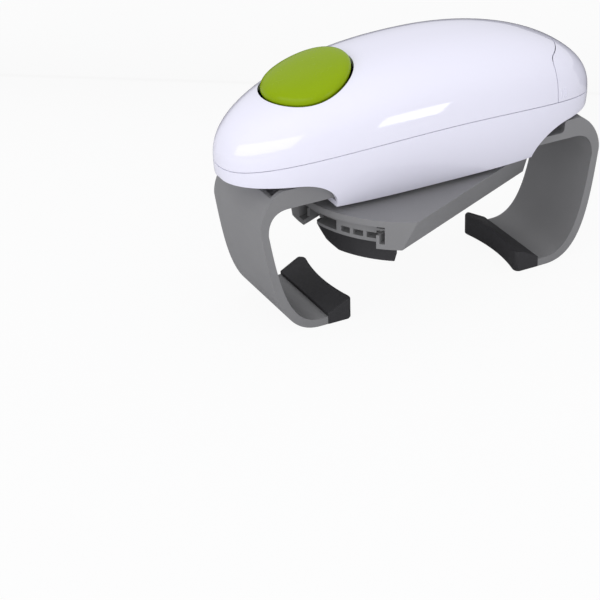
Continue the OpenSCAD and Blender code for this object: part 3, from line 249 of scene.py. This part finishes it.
def finish_piece(obj, body, slot, material, *nodes, ease=0.0, corner=40):
    """Gives a piece its material, its eased edges, its body and the CAD nodes it stands for."""
    mesh = obj.data
    mesh.materials.clear()
    mesh.materials.append(material)
    bm = bmesh.new()
    bm.from_mesh(mesh)
    bmesh.ops.remove_doubles(bm, verts=bm.verts, dist=0.000002)
    for face in bm.faces:
        face.smooth, face.material_index = True, 0
    for edge in bm.edges:
        edge.smooth = len(edge.link_faces) != 2 or edge.calc_face_angle(0) < math.radians(corner)
    bm.to_mesh(mesh)
    bm.free()
    if ease:
        bevel = obj.modifiers.new("eased edges", "BEVEL")
        bevel.width, bevel.segments = ease * mm, 2
        bevel.limit_method, bevel.angle_limit = "ANGLE", math.radians(corner)
    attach(obj, body)
    if nodes:
        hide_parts(*nodes)


def tub_stations():
    """Where the tub's cross-sections stand along X: close together at the tips and the arches."""
    def end(full, limit):
        stop = math.degrees(math.acos(limit / full))
        return [full * math.cos(math.radians(0.5 + (stop - 0.5) * k / 22)) for k in range(22)]
    arch = [arch_x - (arch_x - skirt_x) * math.sin(math.radians(90 * k / 16)) for k in range(17)]
    middle = [skirt_x * (k / 24 - 1) for k in range(1, 48)]
    left = [widest_x - d for d in end(left_length, arch_x + widest_x)] + [-x for x in arch]
    right = [widest_x + d for d in end(right_length, arch_x - widest_x)] + arch
    return left + middle + right[::-1]


tub_x = tub_stations()
side_rows = 16


def tub_point(column, row):
    """Rows run down one side, over the bottom's middle and up the other side."""
    x = tub_x[column]
    deep = min(seam_height(x) - underside(x),
               math.sqrt(max(half_length(x) - abs(x - widest_x), 0) / draw_in))
    side, k = (1, row) if row <= side_rows + 1 else (-1, 2 * side_rows + 2 - row)
    if k > side_rows:
        return Vector((x, 0, seam_height(x) - deep))
    depth = seam_gap / 2 + (deep - seam_gap / 2) * k / side_rows
    return Vector((x, side * outline(x, draw_in * depth * depth), seam_height(x) - depth))


tub = sheet(len(tub_x) - 1, 2 * side_rows + 2, tub_point)
bmesh.ops.solidify(tub, geom=tub.faces, thickness=wall)
lower_shell = mesh_object("lower shell", tub)
tunnels = bmesh.new()
for low, high in ((-74, -45), (45, 74)):
    block(tunnels, (low, -tunnel_half_width, tunnel_floor_z), (high, tunnel_half_width, deck_z))
carve(lower_shell, tunnels, folded=True)
mouths = bmesh.new()
rod(mouths, 0, 0, 55, 64, hub_hole_r, 96)
for y in (-screw_y, screw_y):
    rod(mouths, screw_x, y, 70, 78, screw_head_r)
carve(lower_shell, mouths, folded=True)
drop_crumbs(lower_shell, 500)
finish_piece(lower_shell, "housing", "shell_white", white_abs, "lower_shell", ease=0.3)

# bosses for the cover's screws, rails under the arms' legs, and corbels for the chassis plate
props, sockets = bmesh.new(), bmesh.new()
rail_y, rail_half, rail_length = 17, 1.5, 23
for side in (-1, 1):
    rod(props, screw_x, side * screw_y, 75.0, 78.9, 4.2)
    rod(sockets, screw_x, side * screw_y, 70, 76.2, screw_head_r)
    rod(sockets, screw_x, side * screw_y, 76.1, 82, 1.6)
    for low in (-45, 22):
        block(props, (low, side * rail_y - rail_half, floor_z - 1),
              (low + rail_length, side * rail_y + rail_half, floor_z + 2.2))
inner_features = mesh_object("shell bosses and rails", props)
carve(inner_features, sockets, folded=True)
for x, side in ((-31, -1), (-31, 1), (29, -1), (29, 1)):
    corbel = bmesh.new()
    rod(corbel, x, side * 27.4, 70, deck_z + wall, 3.2)
    rod(corbel, x, side * 28.2, 66, 67, 1.5)
    bmesh.ops.delete(corbel, geom=corbel.edges[:], context="EDGES_FACES")
    bmesh.ops.convex_hull(corbel, input=corbel.verts)
    carve(inner_features, corbel, "UNION")
finish_piece(inner_features, "housing", "shell_white", white_abs)


# ---- Hub bush and turning hub ---------------------------------------------------------
# Natural acetal turnings: a flanged ring in the skirt's floor, and the hub and tube that
# hang the gripper from it. They are self-coloured, so only their surface varies.
creamy = Finish("natural acetal")
acetal = creamy.surface(
    Base_Color=creamy.tint(creamy.cloud(0.02, 3), (0.70, 0.68, 0.60), (0.76, 0.74, 0.66)),
    Roughness=0.38 + 0.1 * creamy.cloud(0.003, 3),
    Normal=creamy.relief(creamy.cloud(0.0008, 2), 0.1, 0.0002),
)


def dress(material, *nodes):
    """Gives CAD nodes whose shape is right their material."""
    for node in nodes:
        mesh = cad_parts[node].data
        mesh.materials.clear()
        mesh.materials.append(material)


dress(acetal, "hub_bush", "output_hub")


# ---- Gear frame ------------------------------------------------------------------------
# Two acetal plates hold the gears between them: the chassis plate with its four pillars
# on the shell's corbels, and the bridge plate. Small zinc-plated screws hold both.
zinc = Finish("zinc-plated steel")
plated_steel = zinc.surface(
    Base_Color=zinc.tint(zinc.cloud(0.004, 4), (0.52, 0.53, 0.55), (0.66, 0.67, 0.68)),
    Metallic=1.0,
    Roughness=0.26 + 0.16 * zinc.cloud(0.0015, 4),
    Normal=zinc.relief(zinc.cloud(0.0005, 2), 0.08, 0.0001),
)
dress(acetal, "chassis_plate", "bridge_plate")
dress(plated_steel, "chassis_screws", "bridge_screws", "gear_axle", "cover_screws", "hub_screws",
      "hub_clip", "left_rack_screws", "right_rack_screws", "board_screws", "brake_spring")


# ---- Gearmotor -------------------------------------------------------------------------
# A small can motor on a nickel-plated gearhead, screwed to the bridge plate. The can is
# drawn steel, and its black end cap carries the two terminals.
plating = Finish("nickel plating")
nickel = plating.surface(
    Base_Color=plating.tint(plating.cloud(0.006, 3), (0.62, 0.59, 0.52), (0.70, 0.67, 0.60)),
    Metallic=1.0,
    Roughness=0.22 + 0.12 * plating.cloud(0.002, 3),
)
moulding = Finish("black moulded plastic")
black_plastic = moulding.surface(
    Base_Color=moulding.tint(moulding.cloud(0.01, 3), (0.018, 0.018, 0.020), (0.030, 0.030, 0.032)),
    Roughness=0.45 + 0.12 * moulding.cloud(0.002, 3),
    Normal=moulding.relief(moulding.cloud(0.0006, 2), 0.12, 0.0001),
)
dress(nickel, "motor_gearhead")
dress(plated_steel, "motor_case", "output_pinion")
dress(black_plastic, "motor_end_cap")


# ---- Gears, brake and clutch -----------------------------------------------------------
# Hobbed and moulded acetal gears. The brake disc is black phenolic, and the clutch washer
# between the drive gear and the arm pinion is pressed felt.
wool = Finish("pressed felt")
fibres = wool.cloud(0.0006, 5, scale=(1, 1, 4))
felt = wool.surface(
    Base_Color=wool.tint(fibres, (0.30, 0.21, 0.12), (0.46, 0.34, 0.21)),
    Roughness=0.95,
    Normal=wool.relief(fibres, 0.6, 0.0003),
)
dress(acetal, "drive_gear", "reduction_gear", "jaw_pinion", "arm_pinion")
dress(black_plastic, "brake_disc", "left_rack", "right_rack")
dress(felt, "clutch_washer")


# ---- Arms ------------------------------------------------------------------------------
# Two broad C-shaped bands of glass-filled nylon in satin gray. Each has a leg that slides
# in the body, a shoulder with a thin cheek, a full sweep down and a foot for the rubber pad.
grain = Finish("satin gray nylon")
spark = grain.cloud(0.0007, 3)
gray_nylon = grain.surface(
    Base_Color=grain.tint(grain.cloud(0.02, 4), (0.193, 0.193, 0.197), (0.218, 0.218, 0.222)),
    Roughness=0.42 + 0.12 * spark,
    Normal=grain.relief(spark, 0.12, 0.0001),
)


def bezier(a, b, c, d, steps):
    """Spots along a curve from a to d, drawn towards b and c on its way."""
    spots = []
    for k in range(steps + 1):
        t, s = k / steps, 1 - k / steps
        spots.append(tuple(s ** 3 * a[i] + 3 * s * s * t * b[i] + 3 * s * t * t * c[i] + t ** 3 * d[i]
                           for i in (0, 1)))
    return spots


def beam(profile, low, high, steps=1):
    """A closed bar: the profile in X and Z, drawn out along Y in steps."""
    bm = bmesh.new()
    face = bm.faces.new([bm.verts.new((x, low, z)) for x, z in profile])
    for step in range(steps):
        grown = bmesh.ops.extrude_face_region(bm, geom=[face])["geom"]
        bmesh.ops.translate(bm, vec=(0, (high - low) / steps, 0),
                            verts=[g for g in grown if isinstance(g, bmesh.types.BMVert)])
        last = [g for g in grown if isinstance(g, bmesh.types.BMFace)][0]
        if step > 0:
            bmesh.ops.delete(bm, geom=[face], context="FACES_ONLY")
        face = last
    bmesh.ops.recalc_face_normals(bm, faces=bm.faces)
    return bm


arm_half, inner_half = 23.75, 21.35
arm_outer = (bezier((60.2, 0), (79.8, 0), (84.0, 23.3), (88.6, 54), 40)
             + bezier((88.6, 54), (89.2, 62), (82.4, 72.3), (76, 72.3), 24)[1:])
arm_inner = (bezier((74.6, 63.2), (81.6, 63.2), (84.8, 59), (84.8, 52), 20)
             + bezier((84.8, 52), (80.2, 24.5), (75.4, 3.8), (60.2, 3.8), 36)[1:])
arm_profile = ([(49.2, 0.8), (56.2, 0.8), (56.2, 0)] + arm_outer
               + [(70.3, 72.3), (69.6, 71.9), (69.3, 71.1), (69.0, 68.0), (68.4, 67.0), (67.3, 66.6),
                  (34, 66.6), (34, 63.2)] + arm_inner + [(56.2, 3.8), (56.2, 3.0), (49.2, 3.0)])
for name, turn in (("right", 0), ("left", math.pi)):
    band = mesh_object(f"{name} arm band", beam(arm_profile, -arm_half, arm_half))
    cheek = beam([(70.3, 72.3), (66, 72.3), (50, 68.5), (46, 66.4), (70.3, 66.4)], inner_half, arm_half)
    carve(band, cheek, "UNION")
    for near_x, far_x, bottom_z in ((72, 102, 69.1), (72.5, 80.5, 66.2)):
        pocket = bmesh.new()
        block(pocket, (near_x, -inner_half, bottom_z), (far_x, inner_half, 80))
        carve(band, pocket)
    band.data.transform(Matrix.Rotation(turn, 4, "Z"))
    finish_piece(band, f"{name}_arm", "arm_gray", gray_nylon, f"{name}_arm", ease=0.5, corner=30)


# ---- Pads ------------------------------------------------------------------------------
# Wedges of black rubber pushed onto the feet. The inner face is hollowed so that it lies
# against something round, and its two corners are rounded.
tread = Finish("black rubber")
dust = tread.cloud(0.0012, 4)
black_rubber = tread.surface(
    Base_Color=tread.tint(tread.cloud(0.015, 4), (0.016, 0.016, 0.018), (0.028, 0.027, 0.030)),
    Roughness=0.60 + 0.2 * dust,
    Normal=tread.relief(dust, 0.25, 0.0001),
)
pad_back, pad_depth, pad_half = 56.2, 11.0, 24.05
hollow_x, hollow_r = -40.2, 86.7
corner_y, corner_length, corner_depth = 20.5, 3.6, 3.0
for name, turn in (("right", 0), ("left", math.pi)):
    pad = beam([(pad_back, 0), (pad_back, 5.3), (53.0, 7.0), (49.8, 8.65), (47.2, 10.0), (46.6, 10.25),
                (45.9, 10.35), (45.4, 10.2), (45.2, 9.8), (45.2, 5), (45.2, 0.4), (45.6, 0)],
               -pad_half, pad_half, 48)
    for v in pad.verts:
        face_x = hollow_x + math.sqrt(hollow_r ** 2 - v.co.y ** 2)
        corner = max(abs(v.co.y) - corner_y, 0)
        face_x += corner_depth * (1 - math.sqrt(max(1 - (corner / corner_length) ** 2, 0)))
        v.co.x = pad_back + (v.co.x - pad_back) * (pad_back - face_x) / pad_depth
    bmesh.ops.rotate(pad, cent=(0, 0, 0), matrix=Matrix.Rotation(turn, 3, "Z"), verts=pad.verts)
    finish_piece(mesh_object(f"{name} jar pad", pad), f"{name}_arm", "rubber_black", black_rubber,
                 f"{name}_pad", ease=0.35, corner=35)


# ---- Lid gripper -----------------------------------------------------------------------
# The gray carrier is an inverted channel with rounded ends, hung from the hub. Two jaw
# sliders run on its lips, and each holds a curved block of black rubber that grips.
def eased_copy(node, body, slot, material, ease):
    """A copy of a CAD node with its edges eased, as a mould leaves them."""
    bm = bmesh.new()
    bm.from_mesh(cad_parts[node].data)
    bmesh.ops.remove_doubles(bm, verts=bm.verts, dist=0.000005)
    bmesh.ops.dissolve_limit(bm, angle_limit=math.radians(0.5), verts=bm.verts, edges=bm.edges)
    bmesh.ops.scale(bm, vec=(1 / mm,) * 3, verts=bm.verts)
    made = mesh_object(node.replace("_", " ") + " eased", bm)
    finish_piece(made, body, slot, material, node, ease=ease, corner=35)


eased_copy("lid_carrier", "carrier", "arm_gray", gray_nylon, 0.25)
for jaw in ("near_jaw", "far_jaw"):
    eased_copy(jaw, jaw, "arm_gray", gray_nylon, 0.12)
    eased_copy(jaw + "_rubber", jaw, "rubber_black", black_rubber, 0.4)


# ---- Circuit board, switch and wires ---------------------------------------------------
# A green board screwed under the cover carries the switch that the button presses. Red
# and black wires run from it to the motor and to the battery contacts.
mask = Finish("green circuit board")
lines = mask.node("ShaderNodeTexBrick", None,
                  {"Vector": mask.place(), "Scale": 260.0, "Mortar Size": 0.03, "Color1": (0, 0, 0, 1),
                   "Color2": (0, 0, 0, 1), "Mortar": (1, 1, 1, 1)}, out="Fac")
board_face = mask.surface(
    Base_Color=mask.tint(lines, (0.012, 0.105, 0.040), (0.030, 0.180, 0.075)),
    Roughness=0.35 + 0.1 * mask.cloud(0.003, 2),
    Normal=mask.relief(lines, 0.3, 0.0001),
)
sleeve = Finish("wire insulation")
side = sleeve.node("ShaderNodeSeparateXYZ", None, {"Vector": sleeve.place()}, out="Y")
insulation = sleeve.surface(
    Base_Color=sleeve.tint(side > 0.0, (0.42, 0.015, 0.015), (0.018, 0.018, 0.020)),
    Roughness=0.35 + 0.1 * sleeve.cloud(0.002, 2),
)
dress(board_face, "circuit_board")
dress(black_plastic, "board_parts", "switch_body")
dress(acetal, "switch_plunger")
dress(insulation, "motor_leads", "battery_leads")


# ---- Batteries and their tray ----------------------------------------------------------
# Two plain AA cells lie side by side in a white tray, in opposite directions. Their sleeve
# is black with a copper-coloured band at the positive end.
printed = Finish("cell sleeve")
along = printed.node("ShaderNodeSeparateXYZ", None, {"Vector": printed.place()}, out="X")
across = printed.node("ShaderNodeSeparateXYZ", None, {"Vector": printed.place()}, out="Y")
near_cell = across < 0.0
band = near_cell * (along > 0.0555) + (1 - near_cell) * (along < 0.0330)
cell_sleeve = printed.surface(
    Base_Color=printed.tint(band, (0.020, 0.020, 0.022), (0.52, 0.235, 0.085)),
    Metallic=0.7 * band,
    Roughness=0.28 + 0.1 * printed.cloud(0.004, 3),
)
dress(cell_sleeve, "batteries")
dress(white_abs, "battery_tray")
dress(nickel, "battery_springs", "battery_contacts", "door_contact")


# ---- Upper cover -----------------------------------------------------------------------
# The egg-shaped white dome, moulded in the same glossy ABS. It is open for the button and
# for the battery door, and a fine gap separates it from the lower shell.
button_x, hole_r = -52.8, 21.4
board_z, board_screw_y = 99, 24.6
dome_steps = 120


def on_disc(column, row, steps):
    """A square grid's point laid on a round disc: its share of the radius, and its bearing."""
    a, b = 2 * column / steps - 1, 2 * row / steps - 1
    p, q = a * math.sqrt(1 - b * b / 2), b * math.sqrt(1 - a * a / 2)
    return min(math.hypot(p, q), 1), math.atan2(q, p)


def dome_point(column, row):
    r, turn = on_disc(column, row, dome_steps)
    lift = math.radians(90) * (1 - r)
    rho = math.cos(lift) ** (2 / dome_power)
    c, s = math.cos(turn), math.sin(turn)
    across = math.copysign(abs(c) ** (2 / plan_power), c)
    x = widest_x + (right_length if across > 0 else left_length) * rho * across
    y = half_width * rho * math.copysign(abs(s) ** (2 / plan_power), s)
    rise = (crown_rise - seam_gap / 2) * math.sin(lift) ** (2 / dome_power)
    return Vector((x, y, seam_height(x) + seam_gap / 2 + rise))


def dome(name):
    bm = sheet(dome_steps, dome_steps, dome_point)
    bmesh.ops.solidify(bm, geom=bm.faces, thickness=wall)
    return mesh_object(name, bm)


def door_side(grow):
    """The space of the battery door: beyond a line at both sides, round the cover's tongue."""
    line, reach, middle, fillet = 61.2 - grow, 27.4 - grow, 45.4, 7
    fillet_x, fillet_y = line + fillet, math.sqrt((reach + fillet) ** 2 - (line + fillet - middle) ** 2)
    meet = math.atan2(fillet_y, fillet_x - middle)
    half = [(middle + reach * math.cos(meet * k / 40), reach * math.sin(meet * k / 40))
            for k in range(41)]
    half += [(fillet_x - fillet * math.cos(meet * (1 - k / 16)),
              fillet_y - fillet * math.sin(meet * (1 - k / 16))) for k in range(1, 17)]
    edge = [(x, -y) for x, y in half[:0:-1]] + half
    bm = beam([(120, 50), (120, -50), (line, -50)] + edge + [(line, 50)], 62, 138)
    bmesh.ops.rotate(bm, cent=(0, 0, 0), matrix=Matrix.Rotation(math.pi / 2, 3, "X"), verts=bm.verts)
    return bm


def hook_point(end, side):
    """Places the points of a snap hook: its section is a loop that runs along the wall."""
    near, far = wall + 0.15, wall + 1.75
    loop = [(near, -5), (near, -0.1), (wall - 0.6, 0.1), (wall - 0.6, 3.5), (far, 3.5), (far, -5),
            (near, -5)]

    def place(column, row):
        x, (inset, z) = end * 36 + 1.25 * (column - 4), loop[row]
        return Vector((x, side * outline(x, inset + draw_in * min(z, 0) ** 2), seam_height(x) + z))
    return place


def underneath(x, y, radius):
    """The height at which a round boss ends inside the dome's wall."""
    around = [math.radians(30 * k) for k in range(12)]
    return min(crown(x + radius * math.cos(a), y + radius * math.sin(a)) for a in around) - 0.6


upper_cover = dome("upper cover")
for side in (-1, 1):
    bosses = bmesh.new()
    for x, y, low, radius in ((screw_x, side * screw_y, 79, 3.4),
                              (button_x, side * board_screw_y, board_z, 2.4)):
        rod(bosses, x, y, low, underneath(x, y, radius), radius)
    carve(upper_cover, bosses, "UNION")
    for end in (-1, 1):
        hook = sheet(8, 6, hook_point(end, side))
        bmesh.ops.holes_fill(hook, edges=[e for e in hook.edges if e.is_boundary])
        bmesh.ops.recalc_face_normals(hook, faces=hook.faces)
        carve(upper_cover, hook, "UNION")
for x in (1, 13):
    foot = crown(x, 22, wall) - 2.5
    arch = [(-22, foot), (22, foot)] + [(y, crown(x, y, wall) + 0.8) for y in range(22, -23, -2)]
    web = beam(arch, -x - 0.8, -x + 0.8)
    bmesh.ops.rotate(web, cent=(0, 0, 0), matrix=Matrix.Rotation(math.pi / 2, 3, "Z"), verts=web.verts)
    carve(upper_cover, web, "UNION")
hole = bmesh.new()
rod(hole, button_x, 0, 70, 140, hole_r, 160)
carve(upper_cover, hole)
carve(upper_cover, door_side(seam_gap / 2))
finish_piece(upper_cover, "housing", "shell_white", white_abs, "upper_cover", ease=0.15)


# ---- Battery door ----------------------------------------------------------------------
# The end of the dome slides off along X for the cells. Three short finger ribs stand on
# each of its sides.
door = dome("battery door")
carve(door, door_side(-seam_gap / 2), "INTERSECT")
finish_piece(door, "door", "shell_white", white_abs, "battery_door", ease=0.15)
ribs = bmesh.new()
for side in (-1, 1):
    for x in (63.2, 65.1, 66.7):
        z0, z1 = seam_height(x) + 1.9, seam_height(x) + 6.3
        for k in range(9):
            z = z0 + (z1 - z0) * k / 8
            rho = (1 - ((z - seam_height(x)) / crown_rise) ** dome_power) ** (1 / dome_power)
            u = abs(x - widest_x) / half_length(x)
            y = half_width * max(rho ** plan_power - u ** plan_power, 0) ** (1 / plan_power)
            bmesh.ops.create_uvsphere(ribs, u_segments=12, v_segments=8,
                                      radius=0.55 if 0 < k < 8 else 0.4,
                                      matrix=Matrix.Translation((x, side * (y - 0.2), z)))
finish_piece(mesh_object("door finger ribs", ribs), "door", "shell_white", white_abs)


# ---- Power button ----------------------------------------------------------------------
# A large round cap in satin green ABS, pillow-shaped, with a rolled edge that drops into
# the dark gap of the cover. A coil spring lifts it off the switch.
leaf = Finish("satin green ABS")
leaf_peel = leaf.cloud(0.003, 2)
green_abs = leaf.surface(
    Base_Color=leaf.tint(leaf.cloud(0.02, 3), (0.238, 0.352, 0.002), (0.258, 0.376, 0.003)),
    Roughness=0.22 + 0.08 * leaf.cloud(0.004, 3),
    Specular_IOR_Level=0.12,
    Normal=leaf.relief(leaf_peel, 0.02, 0.0003),
)


cap_r, cap_rise, cap_steps = 20.2, 4.1, 64
plunger_top_z = 104.3


def cap_point(column, row):
    r, turn = on_disc(column, row, cap_steps)
    r = math.sin(math.radians(90) * r)
    x, y = button_x + cap_r * r * math.cos(turn), cap_r * r * math.sin(turn)
    return Vector((x, y, crown(x, y) + cap_rise * max(1 - r ** 8, 0) ** 0.4))


cap = sheet(cap_steps, cap_steps, cap_point)
rim = [e for e in cap.edges if e.is_boundary]
for narrow, drop in ((1.0, -0.4), (0.945, -0.5), (1.0, -3.6)):
    skirt = bmesh.ops.extrude_edge_only(cap, edges=rim)["geom"]
    rim = [g for g in skirt if isinstance(g, bmesh.types.BMEdge)]
    ring = [g for g in skirt if isinstance(g, bmesh.types.BMVert)]
    bmesh.ops.scale(cap, vec=(narrow, narrow, 1), space=Matrix.Translation((-button_x, 0, 0)), verts=ring)
    bmesh.ops.translate(cap, vec=(0, 0, drop), verts=ring)
bmesh.ops.recalc_face_normals(cap, faces=cap.faces)
bmesh.ops.solidify(cap, geom=cap.faces, thickness=wall)
rod(cap, button_x, 0, plunger_top_z, crown(button_x, 0) + cap_rise - 1, 3.0)
finish_piece(mesh_object("button cap", cap), "button", "button_green", green_abs, "power_button")
dress(plated_steel, "button_spring")


# ---- Studio ----------------------------------------------------------------------------
# A pale floor and backdrop, a soft even sky, a black flag that gives the white dome its
# thin dark edge, and softboxes whose reflections lie on the dome as in the photograph.
# The camera has the photograph's viewing angle.
paper = Finish("pale floor")
white_card = paper.node("ShaderNodeBsdfDiffuse", None, {"Color": (0.62, 0.62, 0.63, 1)})
shining = paper.node("ShaderNodeEmission", None, {"Color": (1, 1, 1, 1), "Strength": 1.0})
seen = paper.node("ShaderNodeLightPath", out="Is Camera Ray")
mixed = paper.node("ShaderNodeMixShader", None, {0: seen * 0.93, 1: white_card, 2: shining})
paper.node("ShaderNodeOutputMaterial", None, {"Surface": mixed})
bm = bmesh.new()
bmesh.ops.create_grid(bm, x_segments=1, y_segments=1, size=1)
bmesh.ops.scale(bm, vec=(6000, 6000, 1), verts=bm.verts)
bmesh.ops.translate(bm, vec=(0, 0, -0.2), verts=bm.verts)
floor = mesh_object("floor", bm)
floor.data.materials.append(paper.material)
floor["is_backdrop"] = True

felted = Finish("black flag")
dark = felted.node("ShaderNodeBsdfDiffuse", None, {"Color": (0.01, 0.01, 0.01, 1)})
felted.node("ShaderNodeOutputMaterial", None, {"Surface": dark})
bm = bmesh.new()
block(bm, (-300, -2, 0), (300, 2, 112))
bmesh.ops.transform(bm, verts=bm.verts,
                    matrix=Matrix.Translation((130, 175, 0)) @ Matrix.Rotation(math.radians(-35), 4, "Z"))
flag = mesh_object("flag", bm)
flag.data.materials.append(felted.material)
flag.visible_camera = False
flag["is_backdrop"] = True

sky = Finish("studio sky", bpy.data.worlds)
bpy.context.scene.world = sky.material
facing = sky.node("ShaderNodeTexCoord")
height = sky.node("ShaderNodeVectorMath", {"operation": "DOT_PRODUCT"},
                  {0: facing, 1: (0.25, 0, 1)}, out="Value")
low_sky = sky.node("ShaderNodeBackground", None, {"Color": (0.96, 0.96, 1.0, 1), "Strength": 0.52})
high_sky = sky.node("ShaderNodeBackground", None, {"Color": (0.98, 0.98, 1.0, 1), "Strength": 1.16})
backdrop = sky.node("ShaderNodeBackground", None, {"Color": (1, 1, 1, 1), "Strength": 1.0})
soft = sky.node("ShaderNodeMixShader", None, {0: height, 1: low_sky, 2: high_sky})
camera_ray = sky.node("ShaderNodeLightPath", out="Is Camera Ray")
behind = sky.node("ShaderNodeMixShader", None, {0: camera_ray, 1: soft, 2: backdrop})
sky.node("ShaderNodeOutputWorld", None, {"Surface": behind})


def softbox(name, azimuth, elevation, distance, size, radiance, lean=0.0):
    """A lamp that faces the dome from a direction, with its brightness as a reflection shows it."""
    lamp = bpy.data.lights.new(name, "AREA")
    lamp.shape, lamp.size, lamp.size_y = "RECTANGLE", size[0], size[1]
    lamp.energy = radiance * math.pi * size[0] * size[1]
    a, e = math.radians(azimuth), math.radians(elevation)
    away = Vector((math.cos(a) * math.cos(e), math.sin(a) * math.cos(e), math.sin(e)))
    held = bpy.data.objects.new(name, lamp)
    held.location = Vector((-0.016, -0.034, 0.099)) + away * distance
    held.rotation_mode = "QUATERNION"
    held.rotation_quaternion = away.to_track_quat("Z", "Y") @ Quaternion((0, 0, 1), math.radians(lean))
    bpy.context.scene.collection.objects.link(held)


softbox("left softbox", -152, 17, 0.9, (1.4, 0.42), 2.3)
softbox("front strip", -70, -1.5, 0.35, (0.115, 0.085), 4.6, lean=-10)

lens = bpy.data.cameras.new("camera")
lens.sensor_width, lens.lens = 36.0, 2325.752 * 36 / 600
lens.clip_start, lens.clip_end = 0.05, 50
camera = bpy.data.objects.new("camera", lens)
azimuth, elevation, roll = (math.radians(d) for d in (-26.773, 28.788, -1.519))
back = Vector((math.sin(azimuth) * math.cos(elevation), -math.cos(azimuth) * math.cos(elevation),
               math.sin(elevation)))
right = Vector((math.cos(azimuth), math.sin(azimuth), 0))
up = back.cross(right)
turned_right = right * math.cos(roll) + up * math.sin(roll)
turned_up = up * math.cos(roll) - right * math.sin(roll)
camera.rotation_mode = "QUATERNION"
camera.rotation_quaternion = Matrix((turned_right, turned_up, back)).transposed().to_quaternion()
camera.location = (-0.483177, -0.841977, 0.519922)
bpy.context.scene.collection.objects.link(camera)
bpy.context.scene.camera = camera
bpy.context.scene.view_settings.view_transform = "Standard"

low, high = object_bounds()
{"cad": [list(cad_low), list(cad_high)], "visual": [list(low), list(high)]}
